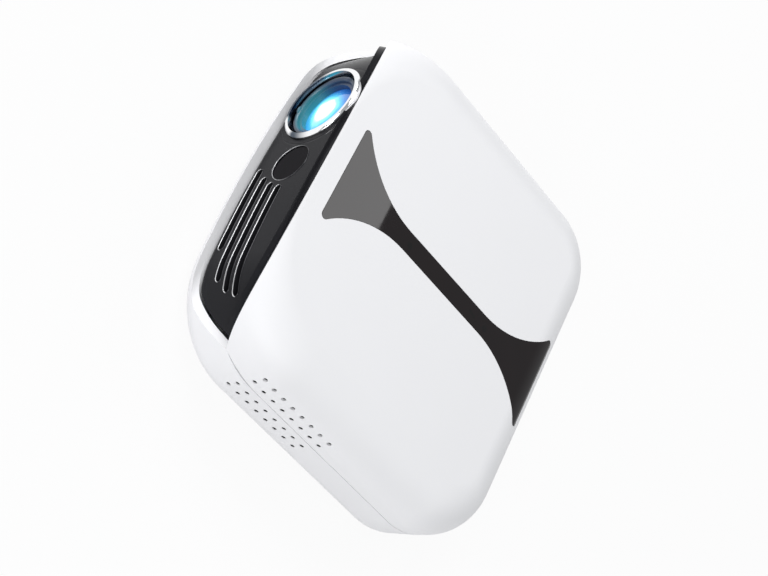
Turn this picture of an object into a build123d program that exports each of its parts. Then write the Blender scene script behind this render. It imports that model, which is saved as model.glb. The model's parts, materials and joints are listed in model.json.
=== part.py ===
"""Pocket projector: a rounded square puck with a wrap-round front visor, a turning
focus ring, a touch panel let into the lid and its light engine, blower, battery
and main board inside.

Frame: +Z up, the lens side faces -Y, and the origin lies on the surface that the
feet stand on, under the middle of the casing. All sizes are in millimetres.
"""
from build123d import *
from math import asin, cos, radians, sin, sqrt, tan
import os

os.makedirs("parts", exist_ok=True)

# --- Casing ---------------------------------------------------------------------
body_width = 100.0
body_depth = 98.0
lower_height = 16.4        # underside to the parting line
upper_height = 15.2        # parting line to the top
foot_stand = 0.8           # how far the feet hold the underside off the table
wall = 1.8
front_bow = 3.9            # how far the front edge falls back over the half width
front_corner = 24.0
back_corner = 19.0
top_round = 12.0
bottom_round = 8.0
upper_draft = 1.0          # degrees
lower_draft = 2.0          # degrees
nose_reach = 9.0           # the lid's own outline runs this far ahead of the casing
nose_corner = 36.0
reveal = 0.25              # shadow gap between the two shells
tongue_height = 1.2
tongue_wall = 0.8
tongue_gap = 0.1

# --- Visor ----------------------------------------------------------------------
visor_wall = 2.6
visor_set_back = 2.4       # from the casing's outline to the visor's face
visor_gap = 0.15           # all round the visor's edges
visor_drop = 0.3           # the visor's crest below the lid's surface
visor_flange = 1.5         # strip that closes the visor's edge against the lid
visor_flange_reach = 3.0
visor_hem = 1.8            # rounding of its lower edge
crest_back = 2.4           # from the casing's front to the lid's front edge
tip_back = 13.7            # from the casing's front to the side tips
side_sag = 0.8             # bend of the visor's side edges
trim_margin = 1.8          # lens ring to the visor's lower edge
ledge_depth = 3.2          # shelf behind the lip
knee_back = 5.2            # where the lower side edge meets the ledge
knee_round = 4.0

# --- Side grille ----------------------------------------------------------------
grille_hole = 1.2          # diameter
grille_rows = 8
grille_pitch = 3.5
grille_front = 22.9        # casing's front to the first column
grille_inner = 2.9         # hole rows above and below the parting line
grille_outer = 6.2

# --- Front details --------------------------------------------------------------
lens_x = -17.8
lens_head_room = 0.7       # lens ring's bore to the lid's inner face
trim_wall = 1.3
trim_gap = 0.62            # focus ring to the trim ring's bore
trim_sleeve = 0.45
trim_proud = 1.0
trim_seat = 0.6            # depth of its flange in the visor
trim_depth = 4.0
trim_chamfer = 0.35
trim_lip = 0.5             # step at the back that keeps the focus ring in
window_x = 0.9
window_radius = 5.2
window_thickness = 0.8
window_recess = 0.2
slot_width = 1.9
slot_pitch = 3.35
slot_low = 3.3             # visor's lower edge to the lowest slot
slot_starts = (1.6, 4.6, 6.6, 7.8)
slot_insets = (24.5, 16.0, 13.5, 12.5)    # from the casing's side to the slots' ends

# --- Touch panel ----------------------------------------------------------------
panel_thickness = 1.0
panel_gap = 0.12
panel_waist = 5.2
panel_front_width = 30.9
panel_back_width = 30.6
panel_front_inset = 8.6    # casing's front to the panel
panel_back_inset = 6.6
panel_neck = 25.4          # panel's ends to its straight waist
panel_corner = 1.2
sensor_board_inset = 6.4   # panel's ends to the board's
sensor_board_width = 16.0
sensor_board_thickness = 0.8

# --- Lens and focus -------------------------------------------------------------
running_gap = 0.05
clear_gap = 0.3
barrel_radius = 8.08
barrel_length = 20.8
barrel_set_back = 1.2      # barrel front behind the visor's face
barrel_room = 2.6          # barrel to the light engine
barrel_wall = 1.2
barrel_lip = 0.78          # rim round the front lens
front_lens_edge = 2.2
front_lens_bulge = 1.5
rear_lens_radius = 5.4
rear_lens_edge = 1.6
rear_lens_bulge = 1.0
focus_wall = 1.15
focus_front = 0.2          # focus ring front behind the visor's face
focus_length = 11.4
focus_skirt = 5.2
focus_tab_count = 3
focus_tab_start = 30.0     # degrees
focus_tab_width = 2.6
focus_tab_height = 0.5
mount_wall = 0.62
mount_flange = 9.4
mount_flange_thickness = 2.0
mount_gap = 0.4            # focus ring to the collar behind it

# --- Light engine ---------------------------------------------------------------
engine_width = 38.0
engine_depth = 34.0
engine_bottom = 7.2        # above the underside
engine_height = 20.0
engine_wall = 1.6
engine_lid = 1.4
engine_window = 6.0        # radius of the light's way out
ear_radius = 2.6
ear_reach = 2.9
ear_offsets = (-9.2, 14.3)    # front ears, from the lens axis
ear_side = 27.0            # engine's front to the ear on its side
light_cross = 22.3         # engine's front to where the light crosses to the prism
red_place = 11.0           # engine's front to the red LED
lane_inset = 8.8           # engine's side to the lane in which the colours are joined
mirror_chip_width = 18.0
mirror_chip_height = 9.0
mirror_chip_depth = 2.4
chip_board_width = 26.0
chip_board_thickness = 1.2
led_size = 9.0
led_depth = 2.0
spreader_thickness = 1.6
spreader_width = 11.0
spreader_height = 16.0
prism_size = 9.0
prism_joint = 0.1
dichroic_width = 8.4
dichroic_height = 15.4
dichroic_thickness = 1.1
relay_lens_radius = 4.4
relay_lens_edge = 0.8
relay_lens_bulge = 1.2
relay_gap = 0.1            # relay lens to prism
cradle_drop = 3.0          # relay lens axis above its cradle's top
mirror_turn = 45.0         # degrees

# --- Cooling --------------------------------------------------------------------
pipe_radius = 1.5
pipe_bend = 9.0
pipe_height = 4.4          # pipe axis above the underside
pipe_place = 13.5          # engine's front to the pipe's first run
pipe_inset = 3.8           # engine's side to the pipe's end
pipe_pass = 1.3            # engine's side to the pipe's run to the front
block_width = 20.0
block_depth = 9.0
block_clear = 0.6          # block to the tray's floor
sink_gap = 0.5             # heat sink to the screw post beside it
sink_width = 25.0
sink_depth = 8.4
sink_set_back = 7.6        # fins behind the visor's face
sink_base = 4.8
sink_height = 24.0
fin_count = 11
fin_thickness = 0.8
blower_gap = 3.3           # blower to the light engine
blower_post_gap = 0.6      # blower to the screw post in front of it
blower_size = 28.0
blower_height = 11.0
blower_bottom = 8.2        # above the underside
blower_plate = 1.2
blower_cavity = 12.2
blower_outlet = 18.0
blower_inlet = 8.5
impeller_radius = 11.4
impeller_hub = 5.0
impeller_blades = 17
impeller_plate = 0.9
blade_thickness = 0.7
blade_root = 8.4
blade_lean = 35.0          # degrees
shaft_radius = 1.0

# --- Speaker --------------------------------------------------------------------
speaker_length = 25.0
speaker_width = 15.0
speaker_depth = 4.6
speaker_rim = 1.4
speaker_gap = 1.8          # speaker's front to the wall
magnet_radius = 4.6
magnet_depth = 3.0

# --- Power and main board -------------------------------------------------------
battery_gap = 1.0          # battery to the posts beside it and the rounded wall behind it
battery_head_room = 0.8    # battery to the main board
battery_front_gap = 2.5    # light engine to the battery
board_front_gap = 2.0      # light engine to the main board
board_thickness = 1.6
board_drop = 8.6           # parting line to the board's underside
board_gap = 0.8            # board edge to the casing's inner wall
socket_set_back = 0.7      # socket mouths behind the back wall's face
video_x = -10.5
video_size = (15.0, 5.6, 11.0)
data_x = 8.5
data_size = (13.2, 5.8, 13.5)
socket_skin = 0.45
socket_tongue_back = 1.6
dc_x = -25.0
dc_size = (9.0, 5.9, 11.0)
dc_bore = 2.1
dc_pin = 0.65
audio_x = 19.4
audio_size = (6.4, 5.4, 12.0)
audio_bore = 1.8
port_margin = 0.35
button_x = 29.5
button_radius = 2.6
button_gap = 0.15
button_flange = 3.3
button_travel = 0.6
button_proud = 0.7
button_flange_thickness = 1.0
button_stem = 0.8
switch_size = (6.0, 3.6, 6.6)
switch_plunger = 1.2
switch_plunger_length = 0.6
status_x = 24.4
status_radius = 0.75
status_block = 2.4
status_length = 7.0
chip_margin = 1.0          # board's front edge to the parts behind it
processor_size = (11.0, 11.0, 1.4)
memory_size = (11.0, 9.0, 1.0)
memory_xs = (-25.0, 8.5)
coil_size = 5.0
coil_height = 3.0
coil_xs = (18.9, 25.0, 31.1)
receiver_board = 9.6
receiver_board_thickness = 1.0
receiver_size = 4.4
receiver_depth = 1.2

# --- Fasteners and feet ---------------------------------------------------------
boss_radius = 3.0
boss_inset = 14.0          # casing's sides to the posts
boss_front_inset = 17.5
boss_back_inset = 16.0
screw_radius = 1.0
screw_clear = 0.2
screw_head_radius = 1.9
screw_head_height = 1.3
screw_length = 20.0
screw_bore_depth = 3.2     # recess for the head, from the underside
board_post_radius = 2.2
board_post_inset = 7.0
board_post_places = (3.0, 12.0)    # board's front edge to its screws
screw_foot = 1.0           # screw ends above the tray's floor
nut_flats = 11.1
nut_thickness = 5.5
nut_thread = 3.175
nut_floor = 1.2
nut_x = 0.0
nut_place = 9.0            # light engine's back to the nut
nut_wall = 1.6
foot_radius = 4.5
foot_recess = 0.8
foot_gap = 0.1
foot_inset = 23.0          # casing's sides to the feet
foot_front_inset = 15.0
foot_back_inset = 13.0

# --- Worked-out places ----------------------------------------------------------
half_width = body_width / 2
front_y = -body_depth / 2
back_y = body_depth / 2
base_z = foot_stand
floor_z = base_z + wall
parting_z = base_z + lower_height
rim_z = parting_z + reveal
top_z = parting_z + upper_height
ceiling_z = top_z - wall
face_y = front_y + visor_set_back
focus_bore = barrel_radius + running_gap
trim_bore = focus_bore + focus_wall + trim_gap
trim_radius = trim_bore + trim_wall
lens_z = ceiling_z - trim_bore - lens_head_room
ledge_z = lens_z - trim_radius - trim_margin
trim_seat_y = face_y + trim_seat
barrel_front_y = face_y + barrel_set_back
barrel_back_y = barrel_front_y + barrel_length
engine_front_y = barrel_back_y + barrel_room
engine_back_y = engine_front_y + engine_depth
engine_x = lens_x
engine_left = engine_x - engine_width / 2
engine_right = engine_x + engine_width / 2
engine_base_z = base_z + engine_bottom
board_front_y = engine_back_y + board_front_gap
board_base_z = parting_z - board_drop
board_top_z = board_base_z + board_thickness
boss_x = half_width - boss_inset
boss_front_y = front_y + boss_front_inset
boss_back_y = back_y - boss_back_inset
boss_points = [(x, y) for x in (-boss_x, boss_x) for y in (boss_front_y, boss_back_y)]
foot_x = half_width - foot_inset
foot_ys = (front_y + foot_front_inset, back_y - foot_back_inset)
foot_points = [(x, y) for x in (-foot_x, foot_x) for y in foot_ys]
board_post_x = half_width - board_post_inset
board_post_ys = [board_front_y + place for place in board_post_places]
board_points = [(x, y) for x in (-board_post_x, board_post_x) for y in board_post_ys]
ear_side_point = (engine_left - ear_reach, engine_front_y + ear_side)
ear_front_points = [(engine_x + offset, engine_front_y - ear_reach) for offset in ear_offsets]
engine_points = ear_front_points + [ear_side_point]
blower_x = engine_right + blower_gap + blower_size / 2
blower_y = boss_front_y + boss_radius + blower_post_gap + blower_size / 2
blower_base_z = base_z + blower_bottom
blower_reach = blower_size / 2 - boss_radius
blower_points = [
    (blower_x + side * blower_reach, blower_y + end * blower_reach)
    for side, end in ((1, -1), (-1, 1), (1, 1))
]
grille_first_y = front_y + grille_front
speaker_back_x = half_width - wall - speaker_gap - speaker_depth
speaker_base_z = parting_z - speaker_width / 2
speaker_y = grille_first_y + (grille_rows - 1) * grille_pitch / 2
nut_y = engine_back_y - nut_place
nut_z = base_z + nut_floor
nut_boss_radius = nut_flats / sqrt(3) + nut_wall
button_z = board_top_z + button_flange + clear_gap
panel_front_y = front_y + panel_front_inset
panel_back_y = back_y - panel_back_inset
port_cuts = [(video_x, video_size), (data_x, data_size), (dc_x, dc_size), (audio_x, audio_size)]


def front_plane(x, y, z):
    """A plane at (x, y, z) that faces the front, with Z as its upward direction."""
    return Plane(origin=(x, y, z), x_dir=(1, 0, 0), z_dir=(0, -1, 0))


def tube(front, back, outer, bore):
    """A tube round the lens axis from front to back; with no bore it is a solid rod."""
    with BuildPart() as piece:
        with BuildSketch(front_plane(lens_x, back, lens_z)):
            Circle(outer)
            if bore:
                Circle(bore, mode=Mode.SUBTRACT)
        extrude(amount=back - front)
    return piece.part


def glass(plane, radius, edge, bulge):
    """A lens that lies flat on plane and bulges along its normal."""
    ball = (radius**2 + bulge**2) / (2 * bulge)
    middle = asin(radius / ball) / 2
    shoulder = (ball * sin(middle), edge + bulge - ball + ball * cos(middle))
    with BuildPart() as blank:
        with BuildSketch(Plane.XZ):
            with BuildLine():
                Polyline((0, edge + bulge), (0, 0), (radius, 0), (radius, edge))
                ThreePointArc((radius, edge), shoulder, (0, edge + bulge))
            make_face()
        revolve(axis=Axis.Z)
    return plane.location * blank.part


def block(low, high):
    """A plain box between two opposite corners."""
    with BuildPart() as piece:
        with BuildSketch(Plane.XY.offset(low[2])):
            with Locations(((low[0] + high[0]) / 2, (low[1] + high[1]) / 2)):
                Rectangle(high[0] - low[0], high[1] - low[1])
        extrude(amount=high[2] - low[2])
    return piece.part


def pegs(points, stages):
    """Upright pegs at points, each built of (bottom, top, radius) stages."""
    with BuildPart() as piece:
        for bottom, top, radius in stages:
            with BuildSketch(Plane.XY.offset(bottom)):
                with Locations(*points):
                    Circle(radius)
            extrude(amount=top - bottom)
    return piece.part


def save(name, builder):
    """Label a finished piece and write it as its own file."""
    builder.part.label = name
    export_step(builder.part, f"parts/{name}.step")


def rim(inset, front, corner):
    """The casing's outline, moved in by inset: a bowed front and rounded corners."""
    bow_radius = (half_width**2 + front_bow**2) / (2 * front_bow) - inset
    side = half_width - inset
    back = back_y - inset
    shoulder = front + inset + bow_radius - sqrt(bow_radius**2 - side**2)
    with BuildSketch() as outline:
        with BuildLine():
            ThreePointArc((-side, shoulder), (0, front + inset), (side, shoulder))
            Polyline((side, shoulder), (side, back), (-side, back), (-side, shoulder))
        make_face()
        fillet(outline.vertices().group_by(Axis.Y)[-1], back_corner - inset)
        fillet(outline.vertices().sort_by_distance((-side, shoulder))[0], corner - inset)
        fillet(outline.vertices().sort_by_distance((side, shoulder))[0], corner - inset)
    return outline.sketch


def upper_form(inset):
    """The lid's full body, moved in by inset, with its wide soft edge on top."""
    with BuildPart() as form:
        with BuildSketch(Plane.XY.offset(rim_z)):
            add(rim(inset, front_y - nose_reach, nose_corner))
        extrude(amount=top_z - rim_z - inset, taper=upper_draft)
        fillet(form.faces().sort_by(Axis.Z)[-1].edges(), top_round - inset)
    return form.part


def lower_form(inset):
    """The tray's full body, moved in by inset, with its rounded underside."""
    with BuildPart() as form:
        with BuildSketch(Plane.XY.offset(parting_z)):
            add(rim(inset, front_y, front_corner))
        extrude(amount=inset - lower_height, taper=lower_draft)
        fillet(form.faces().sort_by(Axis.Z)[0].edges(), bottom_round - inset)
    return form.part


def visor_zone(shrink):
    """The space that the visor takes, seen from the side and carried across the width."""
    crest_y = front_y + crest_back
    tip = (front_y + tip_back, parting_z)
    lean = (tip[0] - crest_y) / (top_z - parting_z)
    far_y = front_y - nose_reach
    middle = ((crest_y + tip[0]) / 2 - side_sag, (top_z + parting_z) / 2)
    with BuildPart() as zone:
        with BuildSketch(Plane.YZ) as side:
            with BuildLine():
                ThreePointArc((crest_y, top_z), middle, tip)
                Polyline(tip, (front_y + knee_back, ledge_z), (far_y, ledge_z),
                         (far_y, top_z + wall), (crest_y - lean * wall, top_z + wall),
                         (crest_y, top_z))
            make_face()
            knee = side.vertices().sort_by_distance((front_y + knee_back, ledge_z))[0]
            fillet(knee, knee_round)
            if shrink:
                offset(amount=-shrink)
        extrude(amount=half_width + nose_reach, both=True)
    return zone.part


def panel_outline(grow):
    """The touch panel's bow tie outline, let out by grow."""
    waist = panel_waist / 2 + grow
    neck_front = panel_front_y + panel_neck
    neck_back = panel_back_y - panel_neck
    ends = [(panel_front_width / 2 + grow, panel_front_y - grow, neck_front),
            (panel_back_width / 2 + grow, panel_back_y + grow, neck_back)]
    with BuildSketch() as outline:
        with BuildLine():
            for side in (-1, 1):
                for width, end_y, neck_y in ends:
                    TangentArc((side * waist, neck_y), (side * width, end_y), tangent=(0, end_y - neck_y))
                Line((side * waist, neck_front), (side * waist, neck_back))
            for width, end_y, neck_y in ends:
                Line((-width, end_y), (width, end_y))
        make_face()
        fillet(outline.vertices().group_by(Axis.Y)[0], panel_corner)
        fillet(outline.vertices().group_by(Axis.Y)[-1], panel_corner)
    return outline.sketch


lid_outer = upper_form(0)
lid_inner = upper_form(wall)
lid_under_panel = upper_form(panel_thickness)
tray_outer = lower_form(0)
tray_inner = lower_form(wall)
visor_room = visor_zone(0)
visor_space = visor_zone(visor_gap)
visor_crest = upper_form(visor_drop)

# The layer of the lid that the touch panel's recess and the panel itself take.
with BuildPart() as panel_recess:
    with BuildSketch(Plane.XY.offset(parting_z)):
        add(panel_outline(panel_gap))
    extrude(amount=upper_height)
    add(lid_under_panel, mode=Mode.SUBTRACT)

with BuildPart() as touch_panel:
    with BuildSketch(Plane.XY.offset(parting_z)):
        add(panel_outline(0))
    extrude(amount=upper_height)
    add(lid_outer, mode=Mode.INTERSECT)
    add(lid_under_panel, mode=Mode.SUBTRACT)
save("touch_panel", touch_panel)

# The holes of the side grille, as pins through the right wall of both shells.
with BuildPart() as grille_pins:
    with BuildSketch(Plane.YZ.offset(half_width - bottom_round)):
        for row in range(grille_rows):
            for height in (-grille_outer, -grille_inner, grille_inner, grille_outer):
                with Locations((grille_first_y + row * grille_pitch, parting_z + height)):
                    Circle(grille_hole / 2)
    extrude(amount=bottom_round + wall)

# --- Lid ------------------------------------------------------------------------
with BuildPart() as top_shell:
    add(lid_outer)
    add(lid_inner, mode=Mode.SUBTRACT)
    with BuildSketch(Plane.XY.offset(rim_z)):
        with Locations(*boss_points):
            Circle(boss_radius)
            Circle(screw_radius + running_gap, mode=Mode.SUBTRACT)
    extrude(amount=ceiling_z + wall / 2 - rim_z)
    with BuildSketch(Plane.XY.offset(parting_z)):
        add(rim(wall - tongue_wall - tongue_gap, front_y, front_corner))
        with Locations(*boss_points):
            Circle(boss_radius, mode=Mode.SUBTRACT)
    extrude(amount=tongue_height, mode=Mode.SUBTRACT)
    add(visor_room, mode=Mode.SUBTRACT)
    add(panel_recess.part, mode=Mode.SUBTRACT)
    add(grille_pins.part, mode=Mode.SUBTRACT)
save("top_shell", top_shell)

# --- Tray -----------------------------------------------------------------------
with BuildPart() as bottom_shell:
    add(tray_outer)
    add(tray_inner, mode=Mode.SUBTRACT)
    # tongue that the lid's rabbet sits on
    with BuildSketch(Plane.XY.offset(parting_z - tongue_height)):
        add(rim(wall - tongue_wall, front_y, front_corner))
    extrude(amount=2 * tongue_height)
    with BuildSketch(Plane.XY.offset(parting_z - tongue_height)):
        add(rim(wall, front_y, front_corner))
    extrude(amount=2 * tongue_height, mode=Mode.SUBTRACT)
    # posts for the lid, the light engine, the blower and the main board
    for points, radius, height in [
        (boss_points, boss_radius, parting_z),
        (engine_points, ear_radius, engine_base_z),
        (blower_points, board_post_radius, blower_base_z),
        (board_points, board_post_radius, board_base_z),
        ([(nut_x, nut_y)], nut_boss_radius, nut_z + nut_thickness),
    ]:
        with BuildSketch(Plane.XY.offset(base_z + wall / 2)):
            with Locations(*points):
                Circle(radius)
        extrude(amount=height - base_z - wall / 2)
    # pedestal under the speaker
    with BuildSketch(Plane.XY.offset(floor_z)):
        with Locations((speaker_back_x + speaker_depth / 2, speaker_y)):
            Rectangle(speaker_depth, speaker_length - 2 * speaker_rim)
    extrude(amount=speaker_base_z - floor_z)
    # shelf behind the lip, for the visor to stand on
    with BuildSketch(Plane.XY.offset(ledge_z - wall)):
        add(rim(wall / 2, front_y, front_corner))
        with Locations((0, half_width + front_y + tip_back)):
            Rectangle(2 * body_width, body_width, mode=Mode.SUBTRACT)
    extrude(amount=wall)
    with BuildSketch(Plane.XY.offset(ledge_z - wall)):
        add(rim(wall + ledge_depth, front_y, front_corner))
        with Locations((0, half_width + front_y + tip_back)):
            Rectangle(2 * body_width, body_width, mode=Mode.SUBTRACT)
    extrude(amount=wall, mode=Mode.SUBTRACT)
    add(visor_room, mode=Mode.SUBTRACT)
    # everything stays inside the tray's outer form
    with BuildSketch(Plane.XY.offset(parting_z)):
        Rectangle(2 * body_width, 2 * body_depth)
    room_above = extrude(amount=upper_height, mode=Mode.PRIVATE)
    add(tray_outer + room_above, mode=Mode.INTERSECT)
    # bores and recesses from below
    with BuildSketch(Plane.XY.offset(base_z)):
        with Locations(*boss_points):
            Circle(screw_radius + screw_clear)
    extrude(amount=lower_height + tongue_height, mode=Mode.SUBTRACT)
    with BuildSketch(Plane.XY.offset(base_z)):
        with Locations(*boss_points):
            Circle(screw_head_radius + screw_clear)
    extrude(amount=screw_bore_depth, mode=Mode.SUBTRACT)
    with BuildSketch(Plane.XY.offset(base_z)):
        with Locations(*foot_points):
            Circle(foot_radius)
    extrude(amount=foot_recess, mode=Mode.SUBTRACT)
    with BuildSketch(Plane.XY.offset(base_z)):
        with Locations((nut_x, nut_y)):
            Circle(nut_thread + clear_gap)
    extrude(amount=nut_floor, mode=Mode.SUBTRACT)
    with BuildSketch(Plane.XY.offset(nut_z)):
        with Locations((nut_x, nut_y)):
            RegularPolygon(nut_flats / 2 + running_gap, 6, major_radius=False)
    extrude(amount=nut_thickness, mode=Mode.SUBTRACT)
    # pilot holes in the posts
    with BuildSketch(Plane.XY.offset(floor_z)):
        with Locations(*board_points, *engine_points, *blower_points):
            Circle(screw_radius + running_gap)
    extrude(amount=parting_z - floor_z, mode=Mode.SUBTRACT)
    # sockets, button and status light in the back wall
    with BuildSketch(Plane.XZ.offset(-back_y)):
        for x, size in port_cuts:
            with Locations((x, board_top_z + size[1] / 2)):
                RectangleRounded(size[0] + 2 * port_margin, size[1] + 2 * port_margin, port_margin)
        with Locations((button_x, button_z)):
            Circle(button_radius + button_gap)
        with Locations((status_x, button_z)):
            Circle(status_radius + running_gap)
    extrude(amount=2 * wall, mode=Mode.SUBTRACT)
    add(grille_pins.part, mode=Mode.SUBTRACT)
save("bottom_shell", bottom_shell)

# --- Visor ----------------------------------------------------------------------
with BuildPart() as visor_cap:
    add(visor_crest)
    with BuildSketch(Plane.XY.offset(ledge_z)):
        Rectangle(2 * body_width, 2 * body_depth)
    extrude(amount=rim_z - ledge_z)

with BuildPart() as flange_strip:
    add(visor_space)
    add(visor_zone(visor_gap + visor_flange), mode=Mode.SUBTRACT)
    add(upper_form(wall + visor_gap), mode=Mode.INTERSECT)
    add(upper_form(wall + visor_gap + visor_flange_reach), mode=Mode.SUBTRACT)

with BuildPart() as front_visor:
    with BuildSketch(Plane.XY.offset(ledge_z)):
        add(rim(visor_set_back, front_y, front_corner))
    extrude(amount=top_z - ledge_z)
    with BuildSketch(Plane.XY.offset(ledge_z)):
        add(rim(visor_set_back + visor_wall, front_y, front_corner))
    extrude(amount=top_z - ledge_z, mode=Mode.SUBTRACT)
    hem = front_visor.edges().group_by(Axis.Z)[0]
    hem_radii = [front_corner - visor_set_back,
                 (half_width**2 + front_bow**2) / (2 * front_bow) - visor_set_back]
    hem_edges = [e for e in hem.filter_by(GeomType.CIRCLE)
                 if min(abs(e.radius - r) for r in hem_radii) < running_gap and e.center().Y < 0]
    fillet(hem_edges, visor_hem)
    add(visor_space, mode=Mode.INTERSECT)
    add(visor_cap.part, mode=Mode.INTERSECT)
    add(flange_strip.part)
    # lens seat and opening
    with BuildSketch(front_plane(lens_x, trim_seat_y, lens_z)):
        Circle(trim_radius + running_gap)
    extrude(amount=visor_wall, mode=Mode.SUBTRACT)
    with BuildSketch(front_plane(lens_x, face_y + 3 * visor_wall, lens_z)):
        Circle(trim_bore + trim_sleeve + running_gap)
    extrude(amount=4 * visor_wall, mode=Mode.SUBTRACT)
    # sensor window
    with BuildSketch(front_plane(window_x, face_y + window_recess + window_thickness, lens_z)):
        Circle(window_radius + running_gap)
    extrude(amount=visor_wall, mode=Mode.SUBTRACT)
    with BuildSketch(front_plane(window_x, face_y + 2 * visor_wall, lens_z)):
        Circle(window_radius - window_thickness)
    extrude(amount=3 * visor_wall, mode=Mode.SUBTRACT)
    with BuildSketch(front_plane(window_x, face_y + 2 * visor_wall, lens_z)):
        Rectangle(2 * window_radius, 2 * window_radius)
    extrude(amount=visor_wall + window_recess, mode=Mode.SUBTRACT)
    # air slots
    with BuildSketch(front_plane(0, face_y + 4 * visor_wall, ledge_z + slot_low)):
        for row, (start, inset) in enumerate(zip(slot_starts, slot_insets)):
            end = half_width - inset
            with Locations(((start + end) / 2, row * slot_pitch)):
                SlotOverall(end - start, slot_width)
    extrude(amount=5 * visor_wall, mode=Mode.SUBTRACT)
save("front_visor", front_visor)

# --- Lens -----------------------------------------------------------------------
focus_front_y = face_y + focus_front
focus_back_y = focus_front_y + focus_length
mount_outer = focus_bore + mount_wall
skirt_outer = trim_bore - running_gap
mount_front_y = focus_back_y - focus_skirt + 2 * clear_gap
front_lens_radius = barrel_radius - barrel_lip
barrel_bore = barrel_radius - barrel_wall
front_seat_y = barrel_front_y + front_lens_edge + front_lens_bulge
rear_seat_y = barrel_back_y - rear_lens_edge - rear_lens_bulge

with BuildPart() as lens_trim:
    add(tube(face_y - trim_proud, trim_seat_y, trim_radius, trim_bore))
    rim_edges = lens_trim.faces().sort_by(Axis.Y)[0].edges()
    chamfer(rim_edges, trim_chamfer)
    add(tube(trim_seat_y, face_y + trim_depth, trim_bore + trim_sleeve, trim_bore))
    lip_front_y = face_y + trim_depth - trim_sleeve
    add(tube(lip_front_y, face_y + trim_depth, trim_bore + trim_sleeve, trim_bore - trim_lip))
save("lens_trim", lens_trim)

with BuildPart() as focus_ring:
    add(tube(focus_front_y, focus_back_y - focus_skirt, focus_bore + focus_wall, focus_bore))
    add(tube(focus_back_y - focus_skirt, focus_back_y, skirt_outer, mount_outer + running_gap))
    web_front_y = focus_back_y - focus_skirt - focus_wall
    add(tube(web_front_y, focus_back_y - focus_skirt, skirt_outer, focus_bore))
    with BuildSketch(front_plane(lens_x, focus_front_y, lens_z)):
        with PolarLocations(focus_bore + focus_wall / 2, focus_tab_count, start_angle=focus_tab_start):
            Rectangle(focus_wall - clear_gap, focus_tab_width)
    extrude(amount=focus_tab_height)
save("focus_ring", focus_ring)

with BuildPart() as lens_mount:
    add(tube(mount_front_y, engine_front_y, mount_outer, focus_bore))
    collar_y = focus_back_y + mount_gap
    add(tube(collar_y, collar_y + mount_flange_thickness, mount_flange, focus_bore))
    add(tube(engine_front_y - mount_flange_thickness, engine_front_y, mount_flange, focus_bore))
save("lens_mount", lens_mount)

with BuildPart() as lens_barrel:
    add(tube(barrel_front_y, barrel_back_y, barrel_radius, 0))
    add(tube(barrel_front_y, front_seat_y, front_lens_radius + running_gap, 0), mode=Mode.SUBTRACT)
    rear_web_y = rear_seat_y - barrel_wall
    add(tube(front_seat_y, rear_web_y, barrel_bore, 0), mode=Mode.SUBTRACT)
    rear_hole = rear_lens_radius - barrel_wall / 2
    add(tube(rear_web_y, rear_seat_y, rear_hole, 0), mode=Mode.SUBTRACT)
    add(tube(rear_seat_y, barrel_back_y, rear_lens_radius + running_gap, 0), mode=Mode.SUBTRACT)
save("lens_barrel", lens_barrel)

with BuildPart() as front_lens:
    seat = front_plane(lens_x, front_seat_y, lens_z)
    add(glass(seat, front_lens_radius, front_lens_edge, front_lens_bulge))
save("front_lens", front_lens)

with BuildPart() as rear_lens:
    seat = Plane(origin=(lens_x, rear_seat_y, lens_z), x_dir=(1, 0, 0), z_dir=(0, 1, 0))
    add(glass(seat, rear_lens_radius, rear_lens_edge, rear_lens_bulge))
save("rear_lens", rear_lens)

# --- Sensor window and receiver -------------------------------------------------
with BuildPart() as sensor_window:
    with BuildSketch(front_plane(window_x, face_y + window_recess + window_thickness, lens_z)):
        Circle(window_radius)
    extrude(amount=window_thickness)
save("sensor_window", sensor_window)

receiver_y = face_y + visor_wall - window_recess
with BuildPart() as ir_receiver:
    with BuildSketch(front_plane(window_x, receiver_y + receiver_board_thickness, lens_z)):
        Rectangle(receiver_board, receiver_board)
    extrude(amount=receiver_board_thickness)
    with BuildSketch(front_plane(window_x, receiver_y, lens_z)):
        Rectangle(receiver_size, receiver_size)
    extrude(amount=receiver_depth / 2)
    with BuildSketch(front_plane(window_x, receiver_y, lens_z)):
        Circle(receiver_size / 2 - clear_gap)
    extrude(amount=receiver_depth)
save("ir_receiver", ir_receiver)

sensor_board_length = panel_back_y - panel_front_y - 2 * sensor_board_inset
with BuildPart() as touch_sensor_board:
    with BuildSketch(Plane.XY.offset(ceiling_z - sensor_board_thickness)):
        with Locations((0, (panel_front_y + panel_back_y) / 2)):
            RectangleRounded(sensor_board_width, sensor_board_length, panel_corner)
    extrude(amount=sensor_board_thickness)
save("touch_sensor_board", touch_sensor_board)

# --- Light engine ---------------------------------------------------------------
engine_floor_z = engine_base_z + engine_wall
engine_top_z = engine_base_z + engine_height
engine_rim_z = engine_top_z - engine_lid
engine_inner_back = engine_back_y - engine_wall
lane_top_z = engine_floor_z + dichroic_height
light_x_lane = engine_left + lane_inset
light_y = engine_front_y + light_cross
red_y = engine_front_y + red_place
prism_low = lens_z - prism_size / 2
relay_x = engine_x - prism_size / 2 - relay_gap
relay_back_x = relay_x - relay_lens_edge - relay_lens_bulge
cradle_height = lens_z - cradle_drop - engine_floor_z

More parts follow.
